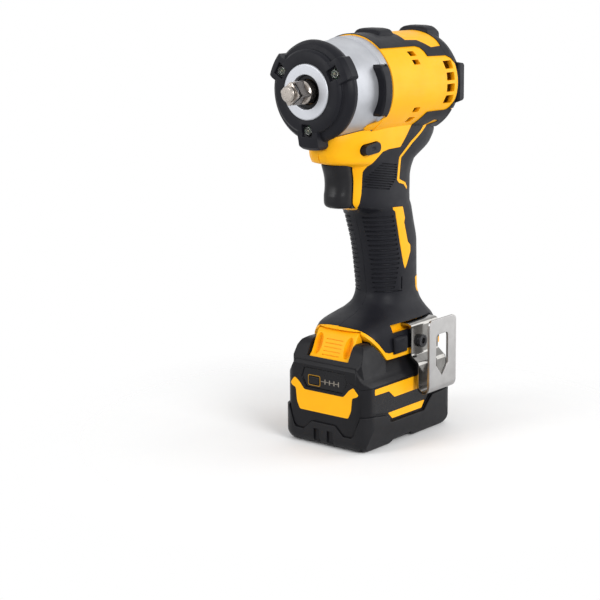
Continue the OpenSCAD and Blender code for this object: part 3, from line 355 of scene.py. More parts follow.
def barrel_form(name, radius):
    """A fine round bar along the drive's axis, to lay barrel faces on."""
    start, end = BARREL_SPAN
    bpy.ops.object.select_all(action="DESELECT")
    bpy.ops.mesh.primitive_cylinder_add(vertices=160, radius=radius * MM, depth=(end - start) * MM,
                                        location=Vector((0, (start + end) / 2, AXIS_Z)) * MM,
                                        rotation=(math.radians(90), 0, 0))
    bar = settle(bpy.context.active_object)
    bar.name = name
    return bar


def lay_on(piece, forms, reach=0.5):
    """Moves the piece's outer faces onto the smooth forms and shades them with their normals."""
    cleaned(piece)
    bm = bmesh.new()
    for form in forms:
        bm.from_mesh(form.data)
    bmesh.ops.delete(bm, geom=[f for f in bm.faces if len(f.verts) > 4], context="FACES_ONLY")
    tree = BVHTree.FromBMesh(bm)
    bm.faces.ensure_lookup_table()
    bm.normal_update()

    def soft_normal(spot):
        loc, _, index, _ = tree.find_nearest(spot, reach * MM)
        if loc is None:
            return None, None
        weights = [(1.0 / ((v.co - loc).length + 1e-7), v.normal) for v in bm.faces[index].verts]
        total = sum((n * w for w, n in weights), Vector((0, 0, 0)))
        return loc, total.normalized()

    mesh = piece.data
    near = [soft_normal(v.co) for v in mesh.vertices]
    outer = []
    for poly in mesh.polygons:
        if all(near[v][0] is not None for v in poly.vertices):
            facing = sum((near[v][1] for v in poly.vertices), Vector((0, 0, 0))).normalized()
            if facing.dot(poly.normal) > 0.9:
                outer.append(poly.index)
    for index in outer:
        for v in mesh.polygons[index].vertices:
            mesh.vertices[v].co = near[v][0]
    mesh.update()
    take(piece)
    bpy.ops.object.shade_smooth_by_angle(angle=math.radians(FLUSH))
    normals = [Vector(n.vector) for n in mesh.corner_normals]
    for index in outer:
        poly = mesh.polygons[index]
        for loop in poly.loop_indices:
            normals[loop] = near[mesh.loops[loop].vertex_index][1]
    mesh.normals_split_custom_set(normals)
    bm.free()
    return piece


# Finishes


def new_finish(name):
    """An empty finish: its material, node tree, surface and coordinates."""
    mat = bpy.data.materials.new(name)
    mat.use_nodes = True
    nodes = mat.node_tree.nodes
    nodes.clear()
    out = nodes.new("ShaderNodeOutputMaterial")
    skin = nodes.new("ShaderNodeBsdfPrincipled")
    mat.node_tree.links.new(skin.outputs[0], out.inputs[0])
    where = nodes.new("ShaderNodeTexCoord")
    return mat, mat.node_tree, skin, where


def add(tree, kind, **inputs):
    """Adds a node. A name that starts with _ is a setting, i0 an input by number, others inputs by name."""
    node = tree.nodes.new(kind)
    for key, value in inputs.items():
        if key.startswith("_"):
            setattr(node, key[1:], value)
    for key, value in inputs.items():
        if not key.startswith("_"):
            numbered = key[0] == "i" and key[1:].isdigit()
            socket = node.inputs[int(key[1:]) if numbered else key.replace("__", " ")]
            if isinstance(value, bpy.types.NodeSocket):
                tree.links.new(value, socket)
            else:
                socket.default_value = value
    return node


def noise(tree, where, size_mm, detail=3.0, rough=0.55, stretch=None):
    """Noise whose patches are about that many mm wide."""
    spot = where.outputs["Object"]
    if stretch:
        spot = add(tree, "ShaderNodeMapping", Vector=spot, Scale=stretch).outputs[0]
    return add(tree, "ShaderNodeTexNoise", Vector=spot, Scale=1000.0 / size_mm, Detail=detail, Roughness=rough)


def spread(tree, value, low, high, from_low=0.3, from_high=0.7):
    """Maps a value from one range to another."""
    return add(tree, "ShaderNodeMapRange", Value=value, From__Min=from_low, From__Max=from_high, To__Min=low,
               To__Max=high).outputs[0]


def shift_colour(tree, factor, dark, light):
    """A colour between a dark and a light one."""
    mix = add(tree, "ShaderNodeMix", _data_type="RGBA", i0=factor)
    mix.inputs[6].default_value = dark + (1,)
    mix.inputs[7].default_value = light + (1,)
    return mix.outputs[2]


def moulded(name, dark, light, rough, grain_mm=0.35, bump=0.25, depth_mm=0.03, level=0.5, worn=None):
    """Moulded plastic or rubber: a spark-eroded grain, faint cloudiness and a little uneven gloss."""
    mat, tree, skin, where = new_finish(name)
    cloud = noise(tree, where, 14, 4)
    colour = shift_colour(tree, spread(tree, cloud.outputs[0], 0, 1), dark, light)
    if worn:
        edge = add(tree, "ShaderNodeNewGeometry").outputs["Pointiness"]
        rub = spread(tree, edge, 0, 1, 0.56, 0.68)
        uneven = spread(tree, cloud.outputs[0], 0.1, 0.8)
        rubbed = add(tree, "ShaderNodeMath", _operation="MULTIPLY", i0=rub, i1=uneven)
        mix = add(tree, "ShaderNodeMix", _data_type="RGBA", i0=rubbed.outputs[0], i6=colour)
        mix.inputs[7].default_value = worn + (1,)
        colour = mix.outputs[2]
    tree.links.new(colour, skin.inputs["Base Color"])
    patch = noise(tree, where, 5, 3)
    tree.links.new(spread(tree, patch.outputs[0], rough - 0.05, rough + 0.05), skin.inputs["Roughness"])
    grain = noise(tree, where, grain_mm, 2, 0.5)
    relief = add(tree, "ShaderNodeBump", Strength=bump, Distance=depth_mm * MM, Height=grain.outputs[0])
    tree.links.new(relief.outputs[0], skin.inputs["Normal"])
    skin.inputs["Specular IOR Level"].default_value = level
    return mat


def metal(name, dark, light, rough, grain_mm=0.5, stretch=None, bump=0.15, depth_mm=0.01):
    """Cast, ground or plated metal: streaks or specks in tone, gloss and relief."""
    mat, tree, skin, where = new_finish(name)
    tone = noise(tree, where, grain_mm * 14, 4)
    colour = shift_colour(tree, spread(tree, tone.outputs[0], 0, 1), dark, light)
    tree.links.new(colour, skin.inputs["Base Color"])
    streak = noise(tree, where, grain_mm, 3, 0.6, stretch)
    tree.links.new(spread(tree, streak.outputs[0], rough - 0.06, rough + 0.06), skin.inputs["Roughness"])
    relief = add(tree, "ShaderNodeBump", Strength=bump, Distance=depth_mm * MM, Height=streak.outputs[0])
    tree.links.new(relief.outputs[0], skin.inputs["Normal"])
    skin.inputs["Metallic"].default_value = 1.0
    return mat


def gearcase_finish():
    """Bead-blasted alloy, with the ring round the drive faced bright on a lathe."""
    mat, tree, skin, where = new_finish("gearcase_alloy")
    xyz = add(tree, "ShaderNodeSeparateXYZ", Vector=where.outputs["Object"])
    up = add(tree, "ShaderNodeMath", _operation="SUBTRACT", i0=xyz.outputs[2], i1=AXIS_Z * MM)
    flat = add(tree, "ShaderNodeCombineXYZ", X=xyz.outputs[0], Y=up.outputs[0])
    radius = add(tree, "ShaderNodeVectorMath", _operation="LENGTH", i0=flat.outputs[0]).outputs["Value"]
    ring_edge, ring_depth, lathe_pitch = (15.1, 15.3), (3.5, 4.2), 0.55
    inner = spread(tree, radius, 1, 0, ring_edge[0] * MM, ring_edge[1] * MM)
    front = spread(tree, xyz.outputs[1], 1, 0, (NOSE_Y + ring_depth[0]) * MM, (NOSE_Y + ring_depth[1]) * MM)
    faced = add(tree, "ShaderNodeMath", _operation="MULTIPLY", i0=inner, i1=front).outputs[0]
    cloud = noise(tree, where, 9, 4)
    cast = shift_colour(tree, spread(tree, cloud.outputs[0], 0, 1),
                        (0.385, 0.396, 0.423), (0.452, 0.463, 0.492))
    mix = add(tree, "ShaderNodeMix", _data_type="RGBA", i0=faced, i6=cast)
    mix.inputs[7].default_value = (0.45, 0.463, 0.495, 1)
    tree.links.new(mix.outputs[2], skin.inputs["Base Color"])
    blast = noise(tree, where, 0.5, 2)
    dull = spread(tree, blast.outputs[0], 0.42, 0.52)
    gloss = add(tree, "ShaderNodeMix", _data_type="FLOAT", i0=faced, i2=dull)
    gloss.inputs[3].default_value = 0.46
    tree.links.new(gloss.outputs[0], skin.inputs["Roughness"])
    turns = add(tree, "ShaderNodeMath", _operation="MULTIPLY", i0=radius, i1=2 * math.pi / (lathe_pitch * MM))
    lathe = add(tree, "ShaderNodeMath", _operation="SINE", i0=turns.outputs[0])
    height = add(tree, "ShaderNodeMix", _data_type="FLOAT", i0=faced, i2=blast.outputs[0], i3=lathe.outputs[0])
    relief = add(tree, "ShaderNodeBump", Strength=0.12, Distance=0.012 * MM, Height=height.outputs[0])
    tree.links.new(relief.outputs[0], skin.inputs["Normal"])
    skin.inputs["Metallic"].default_value = 0.75
    return mat


def hook_finish():
    """Plated strip: bright and mirror-like where it is bent, satin on the outer leg."""
    mat, tree, skin, where = new_finish("hook_plating")
    across = add(tree, "ShaderNodeSeparateXYZ", Vector=where.outputs["Object"]).outputs[0]
    bend = (36.0, 38.0)
    outer = spread(tree, across, 0, 1, bend[0] * MM, bend[1] * MM)
    cloud = spread(tree, noise(tree, where, 6, 3).outputs[0], 0, 1)
    bright = shift_colour(tree, cloud, (0.22, 0.214, 0.204), (0.30, 0.292, 0.28))
    satin = shift_colour(tree, cloud, (0.35, 0.344, 0.34), (0.40, 0.394, 0.39))
    mix = add(tree, "ShaderNodeMix", _data_type="RGBA", i0=outer, i6=bright, i7=satin)
    tree.links.new(mix.outputs[2], skin.inputs["Base Color"])
    brush = noise(tree, where, 0.35, 3, 0.6, (1, 1, 8))
    shine = spread(tree, brush.outputs[0], 0.08, 0.14)
    dull = spread(tree, brush.outputs[0], 0.32, 0.42)
    gloss = add(tree, "ShaderNodeMix", _data_type="FLOAT", i0=outer, i2=shine, i3=dull)
    tree.links.new(gloss.outputs[0], skin.inputs["Roughness"])
    relief = add(tree, "ShaderNodeBump", Strength=0.06, Distance=0.006 * MM, Height=brush.outputs[0])
    tree.links.new(relief.outputs[0], skin.inputs["Normal"])
    skin.inputs["Metallic"].default_value = 1.0
    return mat


def lens_finish():
    """Clear moulded plastic, a little milky."""
    mat, tree, skin, where = new_finish("clear_lens")
    milk = noise(tree, where, 1.5, 2)
    colour = shift_colour(tree, spread(tree, milk.outputs[0], 0, 1), (0.44, 0.45, 0.42), (0.54, 0.54, 0.5))
    tree.links.new(colour, skin.inputs["Base Color"])
    tree.links.new(spread(tree, milk.outputs[0], 0.02, 0.05), skin.inputs["Roughness"])
    skin.inputs["Transmission Weight"].default_value = 1.0
    skin.inputs["IOR"].default_value = 1.5
    return mat


YELLOW = moulded("moulded_yellow", (0.95, 0.43, 0.002), (1.0, 0.47, 0.003), 0.42, 0.5, 0.10, 0.02, 0.2)
RUBBER = moulded("soft_overmould", (0.0085, 0.0088, 0.012), (0.012, 0.0123, 0.0162), 0.46, 0.3, 0.3, 0.03, 0.13,
                 worn=(0.026, 0.026, 0.03))
BOOT = moulded("rubber_boot", (0.007, 0.007, 0.0085), (0.0105, 0.0105, 0.0125), 0.46, 0.35, 0.25, 0.03, 0.17)
BLACK = moulded("black_plastic", (0.006, 0.006, 0.0075), (0.009, 0.009, 0.011), 0.34, 0.4, 0.15, 0.02, 0.2)
CASE = moulded("case_plastic", (0.0065, 0.0065, 0.008), (0.0095, 0.0095, 0.0115), 0.36, 0.4, 0.25, 0.03, 0.15)
PANEL = moulded("gloss_panel", (0.0055, 0.0055, 0.0068), (0.0085, 0.0085, 0.0102), 0.28, 0.8, 0.06, 0.01, 0.2)
ALLOY = gearcase_finish()
STEEL = metal("drive_steel", (0.30, 0.272, 0.25), (0.39, 0.355, 0.325), 0.26, 0.3, (1, 4, 1), 0.2, 0.008)
GEAR_STEEL = metal("gear_steel", (0.36, 0.35, 0.34), (0.46, 0.45, 0.44), 0.36, 0.3)
DARK_STEEL = metal("blackened_steel", (0.05, 0.05, 0.055), (0.085, 0.085, 0.09), 0.4, 0.4)
SPRING = metal("spring_wire", (0.5, 0.5, 0.5), (0.62, 0.62, 0.62), 0.3, 0.3)
HOOK = hook_finish()
PLATED = metal("plated_strip", (0.66, 0.645, 0.62), (0.76, 0.745, 0.72), 0.2, 0.35, (1, 1, 6), 0.08, 0.006)
BEARING = metal("bearing_steel", (0.6, 0.6, 0.61), (0.7, 0.7, 0.71), 0.2, 0.3)
# Much darker than bare bronze: painted shade for the bush seen in the recess round the drive.
BRONZE = metal("sintered_bronze", (0.16, 0.09, 0.035), (0.22, 0.13, 0.05), 0.5, 0.25, None, 0.3, 0.012)
LAMINATED = metal("stacked_sheet", (0.2, 0.2, 0.21), (0.34, 0.34, 0.35), 0.45, 0.35, (0.1, 6, 0.1), 0.4, 0.02)
MAGNET = metal("nickelled_magnet", (0.45, 0.44, 0.42), (0.55, 0.54, 0.52), 0.28, 0.4)
COPPER = metal("enamelled_copper", (0.45, 0.14, 0.05), (0.62, 0.22, 0.08), 0.3, 0.45, (1, 5, 1), 0.5, 0.03)
CONTACT = metal("contact_brass", (0.60, 0.40, 0.14), (0.70, 0.5, 0.2), 0.26, 0.3)
BOARD = moulded("board_lacquer", (0.008, 0.055, 0.025), (0.014, 0.08, 0.035), 0.3, 0.9, 0.1, 0.02)
WRAP = moulded("cell_sleeve", (0.02, 0.12, 0.10), (0.03, 0.16, 0.13), 0.25, 1.2, 0.08, 0.02)
LENS = lens_finish()
CHIP = moulded("light_chip", (0.60, 0.56, 0.38), (0.72, 0.68, 0.5), 0.5, 0.4, 0.1, 0.01)
GAUGE = moulded("dull_yellow_print", (0.30, 0.155, 0.012), (0.38, 0.2, 0.018), 0.5, 0.4, 0.1, 0.01, 0.2)
MARK = moulded("pale_print", (0.20, 0.175, 0.145), (0.26, 0.23, 0.19), 0.5, 0.4, 0.1, 0.01)

FINISH_OF = {
    "housing_yellow": YELLOW, "overmould": RUBBER, "rubber_boot": BOOT, "gearcase_alloy": ALLOY,
    "tool_steel": STEEL, "dark_steel": DARK_STEEL, "spring_steel": SPRING, "bright_steel": PLATED,
    "bearing_steel": BEARING, "bronze": BRONZE, "lamination": LAMINATED, "magnet": MAGNET, "copper": COPPER,
    "board": BOARD, "black_plastic": BLACK, "case_plastic": CASE, "gloss_panel": PANEL, "lens": LENS,
    "contact": CONTACT, "cell_wrap": WRAP}

SLOT_OF = {part["node"]: part["material_slot"] for part in frame["record"]["subparts"]}


def dress(piece, finish, slot, body, *nodes):
    """Gives a finished piece its material and its body, and hides the solids that it stands for. The slot is
    not used.
    """
    piece.data.materials.clear()
    piece.data.materials.append(finish)
    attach(piece, body)
    if nodes:
        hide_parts(*nodes)
    return piece


def softened(node, width, segments=3, finish=None):
    """The solid's own shape with its edges rounded as moulded, cast or pressed ones are."""
    piece = taken_from(node, node + "_finish")
    round_edges(piece, width, segments)
    shade(piece, FLUSH)
    slot = SLOT_OF[node]
    return dress(piece, finish or FINISH_OF[slot], slot, frame["nodes"][node]["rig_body"], node)


# Carried-over solids


for node, solid in frame["nodes"].items():
    solid.data.materials.clear()
    solid.data.materials.append(FINISH_OF[SLOT_OF[node]])
for node in ("cam_spindle", "ring_gear", "planet_1", "planet_2", "planet_3"):
    frame["nodes"][node].data.materials[0] = GEAR_STEEL


# Drive and springs


def make_springs():
    """Coil springs, one for each part that a joint deforms, taken from their solids and finished as wire."""
    for joint in frame["record"]["behaviour"]["joints"]:
        for part in joint.get("deforming_nodes", []):
            node, letter = part["node"], part["mode"][-1]
            spring = taken_from(node, node + "_finish")
            dress(shade(spring, 60), SPRING, SLOT_OF[node], frame["nodes"][node]["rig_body"], node)
            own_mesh(spring)


def make_drive():
    """The hammer and the cam balls, welded so that no sliver of their solids is left loose."""
    for node, finish in (("hammer", GEAR_STEEL), ("cam_balls", FINISH_OF[SLOT_OF["cam_balls"]])):
        piece = taken_from(node, node + "_finish")
        dress(shade(piece), finish, SLOT_OF[node], frame["nodes"][node]["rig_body"], node)


# Head


def off_axis(x, z):
    """Distance from the drive's axis."""
    return math.hypot(x, z - AXIS_Z)


def make_head():
    """Soft covers, side pads, gearcase, nose, drive and work lights."""
    band = barrel_form("band_form", BAND_R)
    for node in ("top_bumper", "rear_bumper"):
        cover = taken_from(node, node + "_finish")
        round_some(cover, lambda x, y, z: off_axis(x, z) > 29.0, 1.5)
        round_edges(cover, 0.3, 2, clamp=False)
        lay_on(cover, [band], 0.3)
        dress(cover, RUBBER, "overmould", "tool", node)
    bpy.data.objects.remove(band)
    pads = taken_from("side_pads", "side_pads_finish")
    round_some(pads, lambda x, y, z: off_axis(x, z) > 29.6, 1.5, 5)
    held(pads, (-PAD_R, NOSE_Y + 27.4, 0), (PAD_R, NOSE_Y + 35.6, 300), PAD_R)
    dress(shade(pads, SMOOTH), RUBBER, "overmould", "tool", "side_pads")
    softened("gearcase", 0.3)
    nose = taken_from("nose_bumper", "nose_bumper_finish")
    round_some(nose, lambda x, y, z: off_axis(x, z) > 24.6, 1.0, 4, True)
    round_edges(nose, 0.3, 2, 30, False)
    dress(shade(nose, SMOOTH), RUBBER, SLOT_OF["nose_bumper"], "tool", "nose_bumper")
    softened("anvil", 0.25, 2)
    softened("retaining_ring", 0.2, 2)
    softened("light_lenses", 0.7, 4)
    make_fillets()
    # A dark ring in the recess behind the drive: painted shade.
    make_recess_shade_ring()
    make_light_chips()


def make_fillets():
    """Sweeps the barrel's front edge forward into the neck, on both sides under the gearcase."""
    rings = []
    for r0, r1, back0, back1 in ((26.6, BARREL_R, 26.5, 36.5), (BARREL_R, BARREL_R, 36.4, 38.6)):
        bpy.ops.object.select_all(action="DESELECT")
        bpy.ops.mesh.primitive_cone_add(vertices=160, radius1=r1 * MM, radius2=r0 * MM,
                                        depth=(back1 - back0) * MM,
                                        location=Vector((0, NOSE_Y + (back0 + back1) / 2, AXIS_Z)) * MM,
                                        rotation=(math.radians(90), 0, 0))
        rings.append(settle(bpy.context.active_object))
    fillet = cut(rings[0], rings[1], "UNION")
    sweep = [(38.6, 11.6), (36.6, 14.6), (33.2, 16.9), (28, 18.3), (27, 21.4), (38.6, 21.4)]
    edge = eased([(NOSE_Y + back, AXIS_Z - down) for back, down in sweep], 3.0)
    cut(fillet, plate("fillet_edge", edge, 0, -40, 80), "INTERSECT")
    cut(fillet, block((0, 0, AXIS_Z), (34, 200, 60)))
    fillet.name = fillet.data.name = "collar_fillets"
    dress(shade(round_edges(fillet, 0.25, 2), SMOOTH), YELLOW, "housing_yellow", "tool")


def make_recess_shade_ring():
    """A dark ring turned from its section, set in the recess behind the drive's shoulder as painted shade."""
    section = [(6.55, 2.6), (7.0, 2.2), (8.7, 2.2), (8.95, 2.5), (8.95, 4.1), (6.55, 4.1)]
    spots = [(r, NOSE_Y + back, AXIS_Z) for r, back in section]
    shade_ring = drawn("recess_shade_ring", spots, [list(range(len(spots)))])
    take(shade_ring)
    bpy.ops.object.mode_set(mode="EDIT")
    bpy.ops.mesh.select_all(action="SELECT")
    bpy.ops.mesh.spin(steps=64, angle=2 * math.pi, center=Vector((0, NOSE_Y, AXIS_Z)) * MM,
                      axis=(0, 1, 0), use_auto_merge=True)
    bpy.ops.mesh.select_all(action="SELECT")
    bpy.ops.mesh.remove_doubles(threshold=0.01 * MM)
    bpy.ops.mesh.delete_loose()
    bpy.ops.mesh.normals_make_consistent(inside=False)
    bpy.ops.object.mode_set(mode="OBJECT")
    drop_inner_faces(shade_ring, len(section))
    dress(shade(shade_ring, SMOOTH), BOOT, "rubber_boot", "tool")


def drop_inner_faces(piece, corners):
    """Removes the start section that a full spin leaves inside the ring."""
    bm = bmesh.new()
    bm.from_mesh(piece.data)
    inner = [f for f in bm.faces if len(f.verts) == corners]
    bmesh.ops.delete(bm, geom=inner, context="FACES_ONLY")
    bmesh.ops.recalc_face_normals(bm, faces=bm.faces[:])
    bm.to_mesh(piece.data)
    bm.free()


def make_light_chips():
    """The pale chip under each of the three work light lenses."""
    chips = []
    for turn in LIGHT_TURNS:
        a = math.radians(turn)
        spot = (LIGHT_R * math.cos(a), NOSE_Y + 2.75, AXIS_Z - LIGHT_R * math.sin(a))
        chips.append(block(spot, (1.1, 0.5, 1.1), (0, turn, 0)))
    chip = joined(chips, "light_chips")
    round_edges(chip, 0.15, 2)
    dress(shade(chip), CHIP, "lens", "tool")


# Handle


RIB_TOP, RIB_PITCH, RIB_COUNT, RIB_SLOT = 123.4, 2.7, 16, 1.05
THUMB_TOP, THUMB_PITCH, THUMB_COUNT, THUMB_SLOT = 153.6, 1.36, 11, 0.62
THUMB_SLOPE = 0.16
RIB_DEPTH = 0.75

# Where the grip's ribs end on the side: height, then distance along Y.
GRIP_RIB_ENDS = [(123.4, 2.1), (109.8, 5.7), (98.2, 8.7), (82.9, 5.9)]

# Outline of the ribbed rest under the thumb: Y, Z.
THUMB_EDGE = [(-8.6, 154.9), (1.8, 155.6), (3.8, 150.5), (3.4, 144.4), (-2.8, 138.6), (-20.9, 139.4),
              (-20.9, 146.4), (-13.2, 151.9)]


def rib_end(z):
    """How far back a grip rib runs at that height."""
    for (z1, y1), (z0, y0) in zip(GRIP_RIB_ENDS, GRIP_RIB_ENDS[1:]):
        if z0 - 0.1 <= z <= z1 + 0.1:
            return y0 + (y1 - y0) * (z - z0) / (z1 - z0)
    return GRIP_RIB_ENDS[-1][1]


def inside_thumb(y, z):
    """Whether a spot on the side lies inside the thumb rest."""
    hit = False
    for (y0, z0), (y1, z1) in zip(THUMB_EDGE, THUMB_EDGE[1:] + THUMB_EDGE[:1]):
        if (z0 > z) != (z1 > z) and y < y0 + (y1 - y0) * (z - z0) / (z1 - z0):
            hit = not hit
    return hit


def rib_cutter(side):
    """Slots round the front of the grip and under the thumb, no deeper than the soft cover allows."""
    slots = []
    for k in range(RIB_COUNT):
        z = RIB_TOP - RIB_PITCH * k
        end = rib_end(z)
        slots.append(block((side * 17, (end - 40) / 2, z), (26, end + 40, RIB_SLOT)))
    tip = (math.degrees(math.atan(-THUMB_SLOPE)), 0, 0)
    for k in range(THUMB_COUNT):
        level = THUMB_TOP - THUMB_PITCH * k
        tries = (-22 + 0.25 * i for i in range(110))
        ys = [y for y in tries if inside_thumb(y, level - THUMB_SLOPE * (y + 8))]
        y0, y1 = min(ys), max(ys)
        spot = (side * 17, (y0 + y1) / 2, level - THUMB_SLOPE * ((y0 + y1) / 2 + 8))
        slots.append(block(spot, (12, (y1 - y0) * 1.013, THUMB_SLOT), tip))
    slots.append(block((side * 17, 10.6, 84.6), (12, 0.8, 7.4)))
    slots.append(block((side * 17, -14.6, 80.7), (26, 51.2, 0.8)))
    cutter = joined(slots, "rib_cutter")
    return cut(cutter, handle_form("rib_floor", RIB_DEPTH))


def make_handle():
    """Housing halves and soft grips laid on their smooth forms, then the handle's small pieces."""
    form = handle_form("handle_form")
    barrel = barrel_form("barrel_form", BARREL_R)
    band = barrel_form("band_form", BAND_R)
    for side, sign in (("left", 1), ("right", -1)):
        shell = taken_from("housing_" + side, "housing_" + side + "_finish")
        round_edges(shell, 0.35, 2, 32, False)
        sliced(shell, 2, 128.6, 176.6, 1.6)
        sliced(shell, 1, NOSE_Y + 37.5, NOSE_Y + 104.5, 3.35)
        lay_on(shell, [form, barrel])
        dress(shell, YELLOW, "housing_yellow", "tool", "housing_" + side)
        grip = taken_from("grip_" + side, "grip_" + side + "_finish")
        cut(grip, rib_cutter(sign))
        round_some(grip, lambda x, y, z: abs(x) > 26.9 and 48 < z < 60 and -12 < y < 3, 2.4, 6)
        round_edges(grip, 0.3, 2, 32, False)
        sliced(grip, 2, 63.5, 174.5, 1.5)
        lay_on(grip, [form, band])
        dress(grip, RUBBER, "overmould", "tool", "grip_" + side)
    for tool in (form, barrel, band):
        bpy.data.objects.remove(tool)
    make_inlay()
    make_rim()
    make_trigger()
    make_button()


def make_inlay():
    """The small yellow inlay low on the back of the grip, shorter on the right, where a seam screw sits."""
    inlay = handle_form("back_inlay", -0.12)
    cut(inlay, handle_form("inlay_floor", 0.7))
    edge = eased([(-10.9, 86.2), (13.9, 86.2), (13.4, 77.4), (12.2, 76.2), (-9.6, 76.2), (-10.6, 77.4)], 0.8)
    cut(inlay, plate("inlay_edge", edge, 1, 20, 30), "INTERSECT")
    dress(shade(inlay, SMOOTH), YELLOW, "housing_yellow", "tool")


def make_rim():
    """The yellow rim behind and under the trigger's foot."""
    rim = handle_form("trigger_rim", -0.1)
    cut(rim, handle_form("rim_floor", 0.6))
    edge = eased([(-40, 125.3), (-22, 126.4), (-19.8, 127.5), (-21.2, 129.2), (-22.9, 130.8), (-23, 132.8),
                  (-22.6, 135.2), (-22, 138.4), (-21.6, 143.2), (-21.6, 149.6), (-22, 151.8),
                  (-40, 151.8)], 0.6)
    cut(rim, plate("rim_edge", edge, 0, -24, 48), "INTERSECT")
    cut(rim, block((0, -35, 145.4), (17.4, 50, 30)))
    dress(shade(rim, SMOOTH), YELLOW, "housing_yellow", "tool")


def make_trigger():
    """The trigger as a rounded lever: level sections from its foot to its upper lip."""
    profile = [(130.5, 22.8), (131.2, 21.4), (132.5, 20.5), (134.5, 20.1), (137, 20.1), (140, 20.9),
               (143, 21.2), (146, 20.9), (149, 19.9), (151.5, 18.7), (153.2, 17.9), (154.3, 17.5)]
    zs = [p[0] for p in profile]
    fronts = [p[1] for p in profile]
    slopes = monotone(zs, fronts)
    wide, back, foot_round = 8.2, NOSE_Y + 29, 2.6
    side_square, front_square = 2.7, 2.1
    count, rise = 28, 48
    spots, faces = [], []
    for k in range(rise + 1):
        z = zs[0] + (zs[-1] - zs[0]) * k / rise
        front = NOSE_Y + between(zs, fronts, slopes, z)
        foot = max(0.0, foot_round - (z - zs[0]))
        half = wide - (foot_round - math.sqrt(max(0.0, foot_round ** 2 - foot ** 2)))
        deep = back - front
        for i in range(count + 1):
            t = math.pi * i / count
            x = half * math.copysign(abs(math.cos(t)) ** (2 / side_square), math.cos(t))
            spots.append((x, back - deep * math.sin(t) ** (2 / front_square), z))
    ring = count + 1
    for k in range(rise):
        for i in range(count):
            faces.append((k * ring + i, (k + 1) * ring + i, (k + 1) * ring + i + 1, k * ring + i + 1))
        faces.append((k * ring + count, (k + 1) * ring + count, (k + 1) * ring, k * ring))
    faces.append(tuple(range(ring)))
    faces.append(tuple(reversed(range(rise * ring, (rise + 1) * ring))))
    lever = drawn("trigger_finish", spots, faces)
    take(lever)
    bpy.ops.object.mode_set(mode="EDIT")
    bpy.ops.mesh.select_all(action="SELECT")
    bpy.ops.mesh.normals_make_consistent(inside=False)
    bpy.ops.object.mode_set(mode="OBJECT")
    rear = taken_from("trigger", "trigger_rear")
    cut(rear, block((0, NOSE_Y + 38.5, 142.4), (30, 20, 40)), "INTERSECT")
    cut(lever, rear, "UNION")
    dress(shade(lever, SMOOTH), BLACK, SLOT_OF["trigger"], "trigger", "trigger")


def make_button():
    """The direction button: rounded ends with a shallow dish where the finger presses."""
    button = taken_from("direction_button", "direction_button_finish")
    spots = [v.co.copy() for v in button.data.vertices]
    low = Vector([min(c[i] for c in spots) for i in range(3)])
    high = Vector([max(c[i] for c in spots) for i in range(3)])
    middle = (low + high) / 2
    dish = (2.9, (high.y - low.y) / MM * 0.34, (high.z - low.z) / MM * 0.32)
    for sign in (-1, 1):
        cut(button, ball((sign * (high.x + 2.4 * MM), middle.y, middle.z), dish))
    round_edges(button, 0.5, 3, SMOOTH)
    dress(shade(button, SMOOTH), RUBBER, SLOT_OF["direction_button"], "direction_button", "direction_button")


# Belt hook


def make_hook():
    """The bent strip and its screw."""
    softened("belt_hook", 0.25, 2, HOOK)
    softened("belt_hook_screw", 0.25, 2)


# Battery


def upright(a, b):
    """Whether an edge of a box stands up."""
    return abs(a.z - b.z) > 0.01


def underneath(a, b):
    """Whether an edge of a box runs round its floor."""
    return max(a.z, b.z) < 0.001


def turn_corners(body, which, radius, segments):
    """Gives those edges of a box a large round."""
    take(body)
    mesh = body.data
    bpy.ops.object.mode_set(mode="EDIT")
    bpy.ops.mesh.select_mode(type="EDGE")
    bpy.ops.mesh.select_all(action="DESELECT")
    bpy.ops.object.mode_set(mode="OBJECT")
    for edge in mesh.edges:
        edge.select = which(*(mesh.vertices[v].co for v in edge.vertices))
    bpy.ops.object.mode_set(mode="EDIT")
    bpy.ops.mesh.bevel(offset=radius * MM, segments=segments, affect="EDGES")
    bpy.ops.mesh.select_mode(type="VERT")
    bpy.ops.object.mode_set(mode="OBJECT")


def wrapped(name, outline, proud):
    """A plate that follows the rounded front of the battery base, standing proud of it."""
    body = block((0, 0, 22), (2 * (BASE_HALF + proud), 2 * (proud - CASE_FRONT), 40))
    turn_corners(body, upright, 7 + proud, 14)
    sheet = plate(name, outline, 1, CASE_FRONT - 3, 4.6)
    return cut(sheet, body, "INTERSECT")


def make_face():
    """The battery's front: a plain face plate and a bare yellow panel under the gauge."""
    face_edge = [(-16.6, 38.6), (-23.2, 36.4), (-24.4, 33), (-24.2, 19.4), (-20.6, 10), (-19.3, 8.7),
                 (-13.6, 8.5), (-8, 13.7), (8, 13.7), (13.6, 8.5), (19.3, 8.7), (20.6, 10), (24.2, 19.4),
                 (24.4, 33), (23.2, 36.4), (16.6, 38.6), (12.7, 31.2), (-12.7, 31.2)]
    face = wrapped("battery_face", eased(face_edge, 1.1, 3), 0.35)
    dress(shade(round_edges(face, 0.25, 2, 30, False), FLUSH), CASE, "case_plastic", "battery")
    panel_edge = [(-20.4, 36.4), (-23.6, 32.6), (-22.4, 31.4), (-19.6, 30.4), (-18.8, 23), (-16.8, 18.7),
                  (16.8, 18.7), (18.8, 23), (19.6, 30.4), (22.4, 31.4), (23.6, 32.6), (20.4, 36.4),
                  (17.4, 34.4), (13.6, 30.2), (-13.6, 30.2), (-17.4, 34.4)]
    panel = wrapped("battery_panel", eased(panel_edge, 1.0, 3), 0.55)
    dress(shade(round_edges(panel, 0.12, 2, 30, False), FLUSH), YELLOW, "housing_yellow", "battery")


